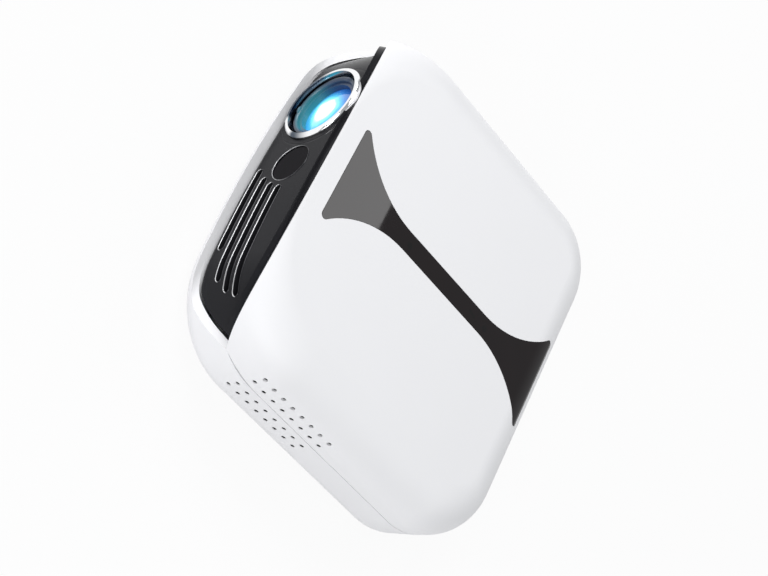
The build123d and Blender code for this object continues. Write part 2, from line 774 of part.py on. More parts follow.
with BuildPart() as engine_housing:
    add(block((engine_left, engine_front_y, engine_base_z), (engine_right, engine_back_y, engine_rim_z)))
    add(block((engine_left + engine_wall, engine_front_y + engine_wall, engine_floor_z),
              (engine_right - engine_wall, engine_inner_back, engine_rim_z)), mode=Mode.SUBTRACT)
    # feet that stand on the tray's posts
    with BuildSketch(Plane.XY.offset(engine_base_z)):
        with Locations(*engine_points):
            Circle(ear_radius)
        for x, y in ear_front_points:
            with Locations((x, y + ear_reach / 2)):
                Rectangle(2 * ear_radius, ear_reach)
        with Locations((ear_side_point[0] + ear_reach / 2, ear_side_point[1])):
            Rectangle(ear_reach, 2 * ear_radius)
        with Locations(*engine_points):
            Circle(screw_radius + running_gap, mode=Mode.SUBTRACT)
    extrude(amount=engine_wall)
    # pedestal for the prism and cradle for the relay lens
    with BuildSketch(Plane.XY.offset(engine_floor_z)):
        with Locations((engine_x, light_y)):
            Rectangle(prism_size, prism_size)
    extrude(amount=prism_low - engine_floor_z)
    with BuildSketch(Plane.XY.offset(engine_floor_z)):
        with Locations(((relay_back_x + relay_x) / 2, light_y)):
            Rectangle(relay_x - relay_back_x, 2 * relay_lens_radius)
    extrude(amount=cradle_height)
    with BuildSketch(Plane.YZ.offset(relay_back_x - relay_gap)):
        with Locations((light_y, lens_z)):
            Circle(relay_lens_radius)
    extrude(amount=relay_x - relay_back_x + 2 * relay_gap, mode=Mode.SUBTRACT)
    add(tube(engine_front_y, engine_front_y + engine_wall, engine_window, 0), mode=Mode.SUBTRACT)
save("engine_housing", engine_housing)

with BuildPart() as engine_cover:
    add(block((engine_left, engine_front_y, engine_rim_z), (engine_right, engine_back_y, engine_top_z)))
    edges = engine_cover.faces().sort_by(Axis.Z)[-1].edges()
    chamfer(edges, engine_lid / 2)
save("engine_cover", engine_cover)

spreader_x = engine_left + engine_wall
spreader_y = engine_front_y + engine_wall
spreader_top_z = engine_floor_z + spreader_height
with BuildPart() as led_spreaders:
    for y in (red_y, light_y):
        add(block((spreader_x, y - spreader_width / 2, engine_floor_z),
                  (spreader_x + spreader_thickness, y + spreader_width / 2, spreader_top_z)))
    add(block((light_x_lane - spreader_width / 2, spreader_y, engine_floor_z),
              (light_x_lane + spreader_width / 2, spreader_y + spreader_thickness, spreader_top_z)))
save("led_spreaders", led_spreaders)

side_led_x = spreader_x + spreader_thickness
front_led_y = spreader_y + spreader_thickness
for led_name, led_y in [("red_led", red_y), ("green_led", light_y)]:
    with BuildPart() as side_led:
        with BuildSketch(Plane.YZ.offset(side_led_x)):
            with Locations((led_y, lens_z)):
                Rectangle(led_size, led_size)
        extrude(amount=led_depth / 2)
        with BuildSketch(Plane.YZ.offset(side_led_x)):
            with Locations((led_y, lens_z)):
                Circle(led_size / 2 - clear_gap)
        extrude(amount=led_depth)
    save(led_name, side_led)

with BuildPart() as blue_led:
    with BuildSketch(Plane.XZ.offset(-front_led_y - led_depth / 2)):
        with Locations((light_x_lane, lens_z)):
            Rectangle(led_size, led_size)
    extrude(amount=led_depth / 2)
    with BuildSketch(Plane.XZ.offset(-front_led_y - led_depth)):
        with Locations((light_x_lane, lens_z)):
            Circle(led_size / 2 - clear_gap)
    extrude(amount=led_depth)
save("blue_led", blue_led)

with BuildPart() as dichroic_mirrors:
    with BuildSketch(Plane.XY.offset(engine_floor_z)):
        with Locations((light_x_lane, red_y)):
            Rectangle(dichroic_width, dichroic_thickness, rotation=mirror_turn)
        with Locations((light_x_lane, light_y)):
            Rectangle(dichroic_width, dichroic_thickness, rotation=-mirror_turn)
    extrude(amount=dichroic_height)
save("dichroic_mirrors", dichroic_mirrors)

with BuildPart() as relay_lens:
    seat = Plane(origin=(relay_x, light_y, lens_z), x_dir=(0, 1, 0), z_dir=(-1, 0, 0))
    add(glass(seat, relay_lens_radius, relay_lens_edge, relay_lens_bulge))
save("relay_lens", relay_lens)

with BuildPart() as prism:
    with BuildSketch(Plane.XY.offset(prism_low)):
        with Locations((engine_x, light_y)):
            Rectangle(prism_size, prism_size)
            Rectangle(2 * prism_size, prism_joint, rotation=mirror_turn, mode=Mode.SUBTRACT)
    extrude(amount=prism_size)
save("prism", prism)

chip_back_y = engine_inner_back - chip_board_thickness
with BuildPart() as chip_board:
    add(block((engine_x - chip_board_width / 2, chip_back_y, engine_floor_z),
              (engine_x + chip_board_width / 2, engine_inner_back, lane_top_z)))
save("chip_board", chip_board)

with BuildPart() as mirror_chip:
    add(block((engine_x - mirror_chip_width / 2, chip_back_y - mirror_chip_depth,
               lens_z - mirror_chip_height / 2),
              (engine_x + mirror_chip_width / 2, chip_back_y, lens_z + mirror_chip_height / 2)))
save("mirror_chip", mirror_chip)

# --- Cooling --------------------------------------------------------------------
pipe_z = base_z + pipe_height
pipe_y = engine_front_y + pipe_place
pipe_start_x = engine_left + pipe_inset
pipe_turn_x = engine_right + pipe_pass
sink_x = boss_x - boss_radius - sink_gap - sink_width
sink_front_y = face_y + sink_set_back
pipe_end_x = sink_x + sink_width - wall
pipe_row_y = sink_front_y + sink_depth / 2

with BuildPart() as heat_pipe:
    with BuildLine(Plane.XY.offset(pipe_z)):
        FilletPolyline((pipe_start_x, pipe_y), (pipe_turn_x, pipe_y), (pipe_turn_x, pipe_row_y),
                       (pipe_end_x, pipe_row_y), radius=pipe_bend)
    with BuildSketch(Plane(origin=(pipe_start_x, pipe_y, pipe_z), z_dir=(1, 0, 0))):
        Circle(pipe_radius)
    sweep()
save("heat_pipe", heat_pipe)

with BuildPart() as heat_block:
    add(block((pipe_start_x, pipe_y - block_depth / 2, floor_z + block_clear),
              (pipe_start_x + block_width, pipe_y + block_depth / 2, engine_base_z)))
    add(heat_pipe.part, mode=Mode.SUBTRACT)
save("heat_block", heat_block)

with BuildPart() as heat_sink:
    add(block((sink_x, sink_front_y, floor_z), (sink_x + sink_width, sink_front_y + sink_depth, floor_z + sink_base)))
    fin_step = (sink_width - fin_thickness) / (fin_count - 1)
    with BuildSketch(Plane.XY.offset(floor_z + sink_base)):
        with Locations(*[(sink_x + fin_thickness / 2 + i * fin_step, pipe_row_y) for i in range(fin_count)]):
            Rectangle(fin_thickness, sink_depth)
    extrude(amount=sink_height - sink_base)
    add(heat_pipe.part, mode=Mode.SUBTRACT)
save("heat_sink", heat_sink)

blower_top_z = blower_base_z + blower_height
blower_low = (blower_x - blower_size / 2, blower_y - blower_size / 2, blower_base_z)
blower_high = (blower_x + blower_size / 2, blower_y + blower_size / 2, blower_top_z - blower_plate)
outlet_x = blower_x - blower_cavity
blower_floor_z = blower_base_z + blower_plate
with BuildPart() as blower_housing:
    add(block(blower_low, blower_high))
    with BuildSketch(Plane.XY.offset(blower_floor_z)):
        with Locations((blower_x, blower_y)):
            Circle(blower_cavity)
        with Locations((outlet_x + blower_outlet / 2, blower_y - blower_size / 4)):
            Rectangle(blower_outlet, blower_size / 2)
    extrude(amount=blower_height - 2 * blower_plate, mode=Mode.SUBTRACT)
    with BuildSketch(Plane.XY.offset(blower_base_z)):
        with Locations((blower_x, blower_y)):
            Circle(shaft_radius)
    extrude(amount=blower_height - 2 * blower_plate)
    with BuildSketch(Plane.XY.offset(blower_base_z)):
        with Locations(*blower_points):
            Circle(screw_radius + running_gap)
    extrude(amount=blower_height, mode=Mode.SUBTRACT)
save("blower_housing", blower_housing)

with BuildPart() as blower_cover:
    with BuildSketch(Plane.XY.offset(blower_top_z - blower_plate)):
        with Locations((blower_x, blower_y)):
            Rectangle(blower_size, blower_size)
            Circle(blower_inlet, mode=Mode.SUBTRACT)
        with Locations(*blower_points):
            Circle(screw_radius + running_gap, mode=Mode.SUBTRACT)
    extrude(amount=blower_plate)
save("blower_cover", blower_cover)

impeller_low_z = blower_floor_z + clear_gap
impeller_top_z = blower_top_z - blower_plate - clear_gap
with BuildPart() as impeller:
    with BuildSketch(Plane.XY.offset(impeller_low_z)):
        with Locations((blower_x, blower_y)):
            Circle(impeller_radius)
    extrude(amount=impeller_plate)
    with BuildSketch(Plane.XY.offset(impeller_low_z)):
        with Locations((blower_x, blower_y)):
            Circle(impeller_hub)
            with PolarLocations((impeller_radius + blade_root) / 2, impeller_blades):
                Rectangle(impeller_radius - blade_root, blade_thickness, rotation=blade_lean)
    extrude(amount=impeller_top_z - impeller_low_z)
    with BuildSketch(Plane.XY.offset(impeller_low_z)):
        with Locations((blower_x, blower_y)):
            Circle(shaft_radius + running_gap)
    extrude(amount=blower_floor_z + blower_height - 2 * blower_plate - impeller_low_z, mode=Mode.SUBTRACT)
save("impeller", impeller)

# --- Speaker --------------------------------------------------------------------
speaker_front_x = speaker_back_x + speaker_depth
speaker_centre_z = speaker_base_z + speaker_width / 2
with BuildPart() as speaker:
    with BuildSketch(Plane.YZ.offset(speaker_back_x)):
        with Locations((speaker_y, speaker_centre_z)):
            RectangleRounded(speaker_length, speaker_width, speaker_rim)
    extrude(amount=speaker_depth)
    with BuildSketch(Plane.YZ.offset(speaker_front_x - speaker_rim / 2)):
        with Locations((speaker_y, speaker_centre_z)):
            RectangleRounded(speaker_length - 2 * speaker_rim, speaker_width - 2 * speaker_rim, speaker_rim)
    extrude(amount=speaker_rim / 2, mode=Mode.SUBTRACT)
    with BuildSketch(Plane.YZ.offset(speaker_back_x - magnet_depth)):
        with Locations((speaker_y, speaker_centre_z)):
            Circle(magnet_radius)
    extrude(amount=magnet_depth)
save("speaker", speaker)

# --- Battery, main board and sockets --------------------------------------------
battery_side = boss_x - boss_radius - battery_gap
battery_front_y = engine_back_y + battery_front_gap
battery_back_y = back_y - bottom_round - battery_gap
battery_top_z = board_base_z - battery_head_room
with BuildPart() as battery:
    add(block((-battery_side, battery_front_y, floor_z), (battery_side, battery_back_y, battery_top_z)))
    upright = battery.edges().filter_by(Axis.Z)
    fillet(upright, panel_corner)
save("battery", battery)

with BuildPart() as main_board:
    with BuildSketch(Plane.XY.offset(board_base_z)):
        add(rim(wall + board_gap, front_y, front_corner))
        with Locations((0, board_front_y - body_depth / 2)):
            Rectangle(2 * body_width, body_depth, mode=Mode.SUBTRACT)
        with Locations(*boss_points):
            Circle(boss_radius + clear_gap, mode=Mode.SUBTRACT)
        with Locations(*board_points):
            Circle(screw_radius + screw_clear, mode=Mode.SUBTRACT)
    extrude(amount=board_thickness)
save("main_board", main_board)

with BuildPart() as processor:
    with BuildSketch(Plane.XY.offset(board_top_z)):
        with Locations((video_x, board_front_y + chip_margin + processor_size[1] / 2)):
            Rectangle(processor_size[0], processor_size[1])
    extrude(amount=processor_size[2])
save("processor", processor)

with BuildPart() as memory_chips:
    with BuildSketch(Plane.XY.offset(board_top_z)):
        with Locations(*[(x, board_front_y + chip_margin + memory_size[1] / 2) for x in memory_xs]):
            Rectangle(memory_size[0], memory_size[1])
    extrude(amount=memory_size[2])
save("memory_chips", memory_chips)

with BuildPart() as power_coils:
    with BuildSketch(Plane.XY.offset(board_top_z)):
        with Locations(*[(x, board_front_y + chip_margin + coil_size / 2) for x in coil_xs]):
            RectangleRounded(coil_size, coil_size, coil_size / 4)
    extrude(amount=coil_height)
save("power_coils", power_coils)

mouth_y = back_y - socket_set_back
for socket_name, socket_x, size in [("video_socket", video_x, video_size), ("data_socket", data_x, data_size)]:
    low = (socket_x - size[0] / 2, mouth_y - size[2], board_top_z)
    high = (socket_x + size[0] / 2, mouth_y, board_top_z + size[1])
    hollow_low = (low[0] + socket_skin, low[1] + socket_skin, low[2] + socket_skin)
    hollow_high = (high[0] - socket_skin, mouth_y, high[2] - socket_skin)
    tongue_z = (low[2] + high[2]) / 2
    with BuildPart() as socket:
        add(block(low, high))
        add(block(hollow_low, hollow_high), mode=Mode.SUBTRACT)
        add(block((low[0] + size[1] / 2, low[1], tongue_z - socket_skin),
                  (high[0] - size[1] / 2, mouth_y - socket_tongue_back, tongue_z + socket_skin)))
    save(socket_name, socket)

for socket_name, socket_x, size, bore, pin in [
    ("dc_socket", dc_x, dc_size, dc_bore, dc_pin),
    ("audio_socket", audio_x, audio_size, audio_bore, 0),
]:
    socket_mid_z = board_top_z + size[1] / 2
    with BuildPart() as socket:
        add(block((socket_x - size[0] / 2, mouth_y - size[2], board_top_z),
                  (socket_x + size[0] / 2, mouth_y, board_top_z + size[1])))
        with BuildSketch(Plane.XZ.offset(-mouth_y)):
            with Locations((socket_x, socket_mid_z)):
                Circle(bore)
                if pin:
                    Circle(pin, mode=Mode.SUBTRACT)
        extrude(amount=size[2] - wall, mode=Mode.SUBTRACT)
    save(socket_name, socket)

# --- Power button ---------------------------------------------------------------
flange_y = back_y - (parting_z - button_z) * tan(radians(lower_draft)) - wall - clear_gap
stem_y = flange_y - button_flange_thickness - button_stem
plunger_y = stem_y - button_travel - running_gap
switch_y = plunger_y - switch_plunger_length
with BuildPart() as power_button:
    with BuildSketch(Plane.XZ.offset(-back_y - button_proud)):
        with Locations((button_x, button_z)):
            Circle(button_radius)
    extrude(amount=back_y + button_proud - stem_y)
    cap_edges = power_button.faces().sort_by(Axis.Y)[-1].edges()
    fillet(cap_edges, button_proud / 2)
    with BuildSketch(Plane.XZ.offset(-flange_y)):
        with Locations((button_x, button_z)):
            Circle(button_flange)
    extrude(amount=button_flange_thickness)
save("power_button", power_button)

with BuildPart() as power_switch:
    add(block((button_x - switch_size[0] / 2, switch_y - switch_size[1], board_top_z),
              (button_x + switch_size[0] / 2, switch_y, board_top_z + switch_size[2])))
    with BuildSketch(Plane.XZ.offset(-plunger_y)):
        with Locations((button_x, button_z)):
            Circle(switch_plunger)
    extrude(amount=plunger_y - switch_y)
save("power_switch", power_switch)

status_front_y = back_y - running_gap - (parting_z - button_z) * tan(radians(lower_draft))
with BuildPart() as status_light:
    with BuildSketch(Plane.XZ.offset(-status_front_y)):
        with Locations((status_x, button_z)):
            Circle(status_radius)
    extrude(amount=status_length)
    add(block((status_x - status_block / 2, status_front_y - status_length, board_top_z),
              (status_x + status_block / 2, status_front_y - status_length + status_block,
               button_z + status_radius)))
save("status_light", status_light)

# --- Feet, nut and screws -------------------------------------------------------
with BuildPart() as rubber_feet:
    add(pegs(foot_points, [(0, foot_stand + foot_recess, foot_radius - foot_gap)]))
    foot_rims = rubber_feet.edges().group_by(Axis.Z)[0]
    fillet(foot_rims, foot_stand / 2)
save("rubber_feet", rubber_feet)

with BuildPart() as tripod_nut:
    with BuildSketch(Plane.XY.offset(nut_z)):
        with Locations((nut_x, nut_y)):
            RegularPolygon(nut_flats / 2, 6, major_radius=False)
            Circle(nut_thread, mode=Mode.SUBTRACT)
    extrude(amount=nut_thickness)
save("tripod_nut", tripod_nut)

head_z = base_z + screw_bore_depth
with BuildPart() as case_screws:
    add(pegs(boss_points, [(head_z - screw_head_height, head_z, screw_head_radius),
                           (head_z, head_z + screw_length, screw_radius)]))
save("case_screws", case_screws)

for screw_name, points, seat_z in [
    ("board_screws", board_points, board_top_z),
    ("engine_screws", engine_points, engine_floor_z),
    ("blower_screws", blower_points, blower_top_z),
]:
    foot_z = floor_z + screw_foot
    with BuildPart() as screws:
        add(pegs(points, [(seat_z, seat_z + screw_head_height, screw_head_radius),
                          (foot_z, seat_z, screw_radius)]))
    save(screw_name, screws)
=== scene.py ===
"""Dresses a pocket projector: finishes for every piece, a turned trim ring, a ribbed focus ring
with grips, rims round the air slots and the window, dark cups in the side grille's holes, a
speaker cone, socket contacts, screw recesses and the tripod nut's thread, with a stage and a
camera. Lengths are in millimetres until MM makes them metres."""

import json
from math import cos, pi, radians, sin, tau

import bmesh
import bpy
import numpy as np
from bpy.props import FloatProperty, FloatVectorProperty, IntProperty, PointerProperty
from mathutils import Matrix, Vector


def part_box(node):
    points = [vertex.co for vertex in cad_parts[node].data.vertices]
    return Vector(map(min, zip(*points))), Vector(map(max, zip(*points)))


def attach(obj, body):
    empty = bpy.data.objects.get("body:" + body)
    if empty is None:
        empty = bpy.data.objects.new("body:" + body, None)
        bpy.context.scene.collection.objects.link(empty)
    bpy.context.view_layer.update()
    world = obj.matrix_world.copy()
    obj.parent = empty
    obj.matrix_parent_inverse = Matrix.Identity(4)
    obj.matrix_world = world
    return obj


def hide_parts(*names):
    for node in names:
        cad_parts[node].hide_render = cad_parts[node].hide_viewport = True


bl_info = {
    "name": "Pocket projector dressing",
    "version": (1, 0, 0),
    "blender": (4, 5, 0),
    "location": "View3D > Sidebar > Projector",
    "description": "Finishes, trim and stage for a pocket projector",
    "category": "Object",
}

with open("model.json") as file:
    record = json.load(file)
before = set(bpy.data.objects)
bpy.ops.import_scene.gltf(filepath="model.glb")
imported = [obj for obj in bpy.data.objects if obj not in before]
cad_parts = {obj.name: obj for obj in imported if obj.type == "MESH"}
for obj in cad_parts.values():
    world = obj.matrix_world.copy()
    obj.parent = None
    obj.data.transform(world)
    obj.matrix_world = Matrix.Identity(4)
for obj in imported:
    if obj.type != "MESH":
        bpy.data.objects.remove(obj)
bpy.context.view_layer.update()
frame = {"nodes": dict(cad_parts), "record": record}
NODES = frame["nodes"]
MM = 0.001


def box_mm(node):
    """Lowest and highest corner of a CAD node, in millimetres."""
    low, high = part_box(node)
    return np.array(low) / MM, np.array(high) / MM


TRIM_LOW, TRIM_HIGH = box_mm("lens_trim")
FOCUS_LOW, FOCUS_HIGH = box_mm("focus_ring")
LENS_X = (TRIM_LOW[0] + TRIM_HIGH[0]) / 2
LENS_Z = (TRIM_LOW[2] + TRIM_HIGH[2]) / 2

# the visor's face in plan: a shallow arc that meets a tighter arc at each corner
HALF_WIDTH = 47.6
FACE_Y = -46.6
FACE_ARC = 320.06
CORNER_ARC = 21.6

# the faint groove round the lens
GROOVE_RADIUS = 12.7
GROOVE_WIDTH = 0.35

# the air slots, from the lowest up: the x at which each starts and ends
SLOTS = ((1.6, 25.5), (4.6, 34.0), (6.6, 36.5), (7.8, 37.5))
SLOT_LOW = 10.3
SLOT_PITCH = 3.35
SLOT_WIDTH = 1.9

# the side grille: lines of holes above and below the seam between the shells
PARTING_Z = 17.2
GRILLE_HEIGHTS = (-6.2, -2.9, 2.9, 6.2)
GRILLE_HOLE = 1.2
GRILLE_ROWS = 8
GRILLE_PITCH = 3.5
GRILLE_FIRST_Y = -26.1

# the touch panel's marks: the middles of two round ones, and of a bar that leans
ROUND_MARKS = ((0.4, -13.7), (0.3, 18.6))
ROUND_MARK_EDGE = (0.75, 0.95)
BAR_X, BAR_Y = 0.1, 13.0
BAR_LEAN = 0.3
BAR_HALF_LENGTH = (1.3, 1.5)
BAR_HALF_WIDTH = (0.35, 0.5)

# the trim ring: its front flange, the sleeve behind it and what the turned ring keeps clear
TRIM_FLANGE = 1.3
TRIM_SLEEVE = 3.4
TRIM_LIP = 0.45
CLEAR = 0.02

# the lit lens and the chrome: the radius over which the glow's colours are spread, the turning
# lines' radians a millimetre, and the angles a quarter turn before each painted glint's middle
GLOW_REACH = 9.0
TURNING_LINES = 42.0
WIDE_PAINTED_GLINT = 0.17
NARROW_PAINTED_GLINT = -2.44

# the focus ring: radii of its bore, its front and its skirt, and the grips on its front
FOCUS_BORE = 8.15
FOCUS_OUTER = 9.26
SKIRT_OUTER = 9.83
SKIRT_BORE = 8.82
SKIRT_LENGTH = 6.3
SKIRT_DEPTH = 5.2
RIB_DEPTH = 0.06
GRIP_PROUD = 0.5
GRIP_RADIUS = 8.72
GRIP_REACH = 0.13
GRIP_HALF_WIDTH = 0.4
GRIP_HEIGHT = 0.46
GRIP_ANGLES = (30, 150, 270)

# the flat sockets: their steel wall, the tongue in them and rows of leaves on it, each row with
# its socket, pitch, number and width of leaves, and side of the tongue
SOCKET_WALL = 0.45
TONGUE_HALF = 0.45
TONGUE_BAND = (0.6, 0.7)
LEAF_ROWS = (
    ("video_socket", 1.0, 10, 0.5, 1),
    ("video_socket", 1.0, 9, 0.5, -1),
    ("data_socket", 2.2, 4, 1.1, 1),
)
LEAF_LIFT = 0.04
LEAF_THICKNESS = 0.08
LEAF_SET_BACK = 1.75
LEAF_SHORTER = 4.0

# the screws: a little more than a head's width, the side of each set's heads (1 is up), and the
# domed faces on them
HEAD_WIDTH = 4.2
SCREW_SIDES = {"case_screws": -1, "board_screws": 1, "engine_screws": 1, "blower_screws": 1}
SCREW_FACE_RADIUS = 1.9
SCREW_FACE_RISE = 0.22

# the tripod nut's threaded sleeve
NUT_BORE = 3.165
THREAD_DEPTH = 0.52
THREAD_FADE = 0.5
SLEEVE_OUTER = 3.3

# the stage: the floor, and the camera fitted to the photograph
FLOOR_REACH = 4000
FLOOR_WHITE = 0.92
SKY_COLOUR = (0.96, 0.98, 1.0, 1.0)
EYE = Vector((236.6, -254.2, 349.9)) * MM
AIM = Vector((2.9, -2.6, 16.2)) * MM
ROLL = radians(-84.13)
FOCAL_LENGTH = 90.96
SENSOR_WIDTH = 36

# the lamps: name, place, point aimed at, size and share of the lamp power. The card is a lamp
# whose reflection greys the front end of the touch panel.
MIDDLE = (0, 0, 16)
LAMPS = (
    ("key", (-330, -420, 560), MIDDLE, (380, 380), 1.15),
    ("side", (560, -60, 330), MIDDLE, (360, 360), 0.9),
    ("front", (160, -620, 160), MIDDLE, (260, 200), 0.6),
    ("card", (-285, 121.7, 420), (-285, 121.7, 0), (294, 270), 0.33),
    ("low", (-420, -440, 90), MIDDLE, (260, 140), 0.4),
)


def head_points(node, up):
    """Middles (x, y) of a node's screw heads, in millimetres. The points on the heads' flat ends
    are sorted into groups that lie within a head's width of each other."""
    mesh = NODES[node].data
    co = np.zeros(len(mesh.vertices) * 3)
    mesh.vertices.foreach_get("co", co)
    co = co.reshape(-1, 3) / MM
    level = co[:, 2].max() if up > 0 else co[:, 2].min()
    ends = co[np.abs(co[:, 2] - level) < 0.01][:, :2]
    middles = []
    while len(ends):
        near = np.linalg.norm(ends - ends[0], axis=1) < HEAD_WIDTH
        middles.append((ends[near].min(0) + ends[near].max(0)) / 2)
        ends = ends[~near]
    return middles


# ---------------------------------------------------------------- shader maths
class Signal:
    """A shader output that Python arithmetic can be done with; each operation adds a Math node."""

    def __init__(self, paint, socket):
        self.paint = paint
        self.socket = socket

    def math(self, operation, *others):
        return self.paint.add("ShaderNodeMath", {"operation": operation}, [self, *others])

    def math_after(self, operation, other):
        return self.paint.add("ShaderNodeMath", {"operation": operation}, [other, self])

    def __add__(self, other):
        return self.math("ADD", other)

    def __radd__(self, other):
        return self.math("ADD", other)

    def __sub__(self, other):
        return self.math("SUBTRACT", other)

    def __rsub__(self, other):
        return self.math_after("SUBTRACT", other)

    def __mul__(self, other):
        return self.math("MULTIPLY", other)

    def __rmul__(self, other):
        return self.math("MULTIPLY", other)

    def __truediv__(self, other):
        return self.math("DIVIDE", other)

    def __rtruediv__(self, other):
        return self.math_after("DIVIDE", other)

    def size(self):
        return self.math("ABSOLUTE")

    def wave(self):
        return self.math("SINE")

    def root(self):
        return self.math("SQRT")

    def most(self, other):
        return self.math("MAXIMUM", other)

    def step(self, start, end, low=0.0, high=1.0):
        """A smooth step from low to high as the signal goes from start to end."""
        return self.paint.add(
            "ShaderNodeMapRange",
            {"interpolation_type": "SMOOTHSTEP"},
            {"Value": self, "From Min": start, "From Max": end, "To Min": low, "To Max": high},
        )

    def fall(self, start, end):
        """A smooth step from 1 down to 0 as the signal goes from start to end."""
        return self.step(start, end, 1.0, 0.0)


class Paint:
    """A material under construction: one principled surface and the nodes that feed it."""

    def __init__(self, name):
        self.material = bpy.data.materials.new(name)
        self.material.use_nodes = True
        self.tree = self.material.node_tree
        self.tree.nodes.clear()
        self.column = 0
        self.surface = self.tree.nodes.new("ShaderNodeBsdfPrincipled")
        self.output = self.tree.nodes.new("ShaderNodeOutputMaterial")
        self.tree.links.new(self.surface.outputs[0], self.output.inputs["Surface"])

    def add(self, kind, settings=None, values=None, output=0):
        """Adds a node, gives it its settings, then the values or links of its sockets."""
        node = self.tree.nodes.new(kind)
        self.column += 1
        node.location = (-200 * (self.column % 8) - 300, -160 * (self.column // 8))
        for key, value in (settings or {}).items():
            if key == "stops":
                ramp = node.color_ramp
                while len(ramp.elements) > 1:
                    ramp.elements.remove(ramp.elements[-1])
                for i, (place, colour) in enumerate(value):
                    stop = ramp.elements[0] if i == 0 else ramp.elements.new(place)
                    stop.position = place
                    stop.color = (*colour, 1.0)
            else:
                setattr(node, key, value)
        pairs = enumerate(values) if isinstance(values, list) else (values or {}).items()
        for key, value in pairs:
            self.feed(node.inputs[key], value)
        return Signal(self, node.outputs[output])

    def feed(self, socket, value):
        if isinstance(value, Signal):
            self.tree.links.new(value.socket, socket)
        else:
            socket.default_value = value

    def set(self, **values):
        """Sets or links the surface's own sockets, named with underscores for spaces."""
        for key, value in values.items():
            socket = self.surface.inputs[key.replace("_", " ").title().replace("Ior", "IOR")]
            if not isinstance(value, Signal) and socket.type == "RGBA":
                value = (*value, 1.0)
            self.feed(socket, value)

    def place(self, origin_mm=(0, 0, 0)):
        """Object coordinates in millimetres, measured from a point."""
        return self.add(
            "ShaderNodeMapping",
            {"vector_type": "TEXTURE"},
            {
                "Vector": self.add("ShaderNodeTexCoord", output=3),
                "Location": [v * MM for v in origin_mm],
                "Scale": (MM, MM, MM),
            },
        )

    def parts(self, vector):
        """The three components of a vector."""
        split = self.add("ShaderNodeSeparateXYZ", values=[vector])
        return [Signal(self, socket) for socket in split.socket.node.outputs]

    def noise(self, vector, scale, detail=3.0, roughness=0.5):
        return self.add(
            "ShaderNodeTexNoise",
            {"noise_dimensions": "3D"},
            {"Vector": vector, "Scale": scale, "Detail": detail, "Roughness": roughness},
        )

    def blend(self, factor, first, second):
        """A colour between two colours."""
        ends = [v if isinstance(v, Signal) else (*v, 1.0) for v in (first, second)]
        values = {0: factor, 6: ends[0], 7: ends[1]}
        return self.add("ShaderNodeMix", {"data_type": "RGBA"}, values, output=2)

    def bump(self, height, depth_mm, strength=1.0):
        """Feeds a height to the surface's normal; one unit of height is depth_mm."""
        values = {"Height": height, "Distance": depth_mm * MM, "Strength": strength}
        self.set(normal=self.add("ShaderNodeBump", None, values))


# ---------------------------------------------------------------- finishes
FINISHES = {}
MADE = {}
SPREAD = (0.3, 0.7)  # most of a noise's values lie between these


def finish(name):
    """Registers a function that makes a finish."""

    def wrap(make):
        FINISHES[name] = make
        return make

    return wrap


def material(name):
    """The finished material of that name, made on first use. Its own name ends in _finish,
    because the frame holds plain materials under the slots' names."""
    if name not in MADE:
        paint = Paint(name + "_finish")
        FINISHES[name](paint)
        MADE[name] = paint.material
    return MADE[name]


def scaled(colour, share):
    return tuple(c * share for c in colour)


def from_axis(across, upward):
    """Distance from an axis at which both components are nought."""
    return (across * across + upward * upward).root()


def grained(paint, colour, rough, grain, depth, tone=0.03):
    """A moulded plastic: the tone drifts slowly, the gloss varies a little and a fine grain lifts
    the skin."""
    at = paint.place()
    slow = paint.noise(at, 0.06, 2.0)
    fine = paint.noise(at, grain, 2.0, 0.6)
    paler = tuple(min(1.0, c) for c in scaled(colour, 1 + tone))
    paint.set(
        base_color=paint.blend(slow, scaled(colour, 1 - tone), paler),
        roughness=fine.step(0.2, 0.8, rough - 0.05, rough + 0.05),
    )
    paint.bump(fine, depth, 0.4)


def worn(paint, dark, pale, gloss, noise, bump=None, **others):
    """A surface whose colour and roughness drift with one noise, from dark to pale and between
    the two of gloss. Bump, if given, is the depth and strength with which the noise lifts it."""
    drift = paint.noise(paint.place(), *noise)
    paint.set(
        base_color=paint.blend(drift, dark, pale),
        roughness=drift.step(*SPREAD, *gloss),
        **others,
    )
    if bump:
        paint.bump(drift, *bump)


@finish("shell_white")
def shell_white(paint):
    look = bpy.context.scene.projector
    colour = tuple(look.shell_colour)
    grained(paint, colour, look.shell_roughness, grain=5.0, depth=0.006, tone=0.008)
    paint.set(specular_ior_level=0.35)


@finish("visor_black")
def visor_black(paint):
    """A smooth dark plastic with a faint groove round the lens."""
    colour = tuple(bpy.context.scene.projector.visor_colour)
    at = paint.place()
    slow = paint.noise(at, 0.08, 2.0)
    fine = paint.noise(at, 3.0, 2.0)
    x, _, z = paint.parts(paint.place((LENS_X, 0, LENS_Z)))
    groove = (from_axis(x, z) - GROOVE_RADIUS).size().fall(0.0, GROOVE_WIDTH)
    paint.set(
        base_color=paint.blend(slow, scaled(colour, 0.8), colour),
        roughness=fine.step(*SPREAD, 0.2, 0.27),
        specular_ior_level=0.07,
    )
    paint.bump(fine * 0.02 - groove, 0.12, 0.5)


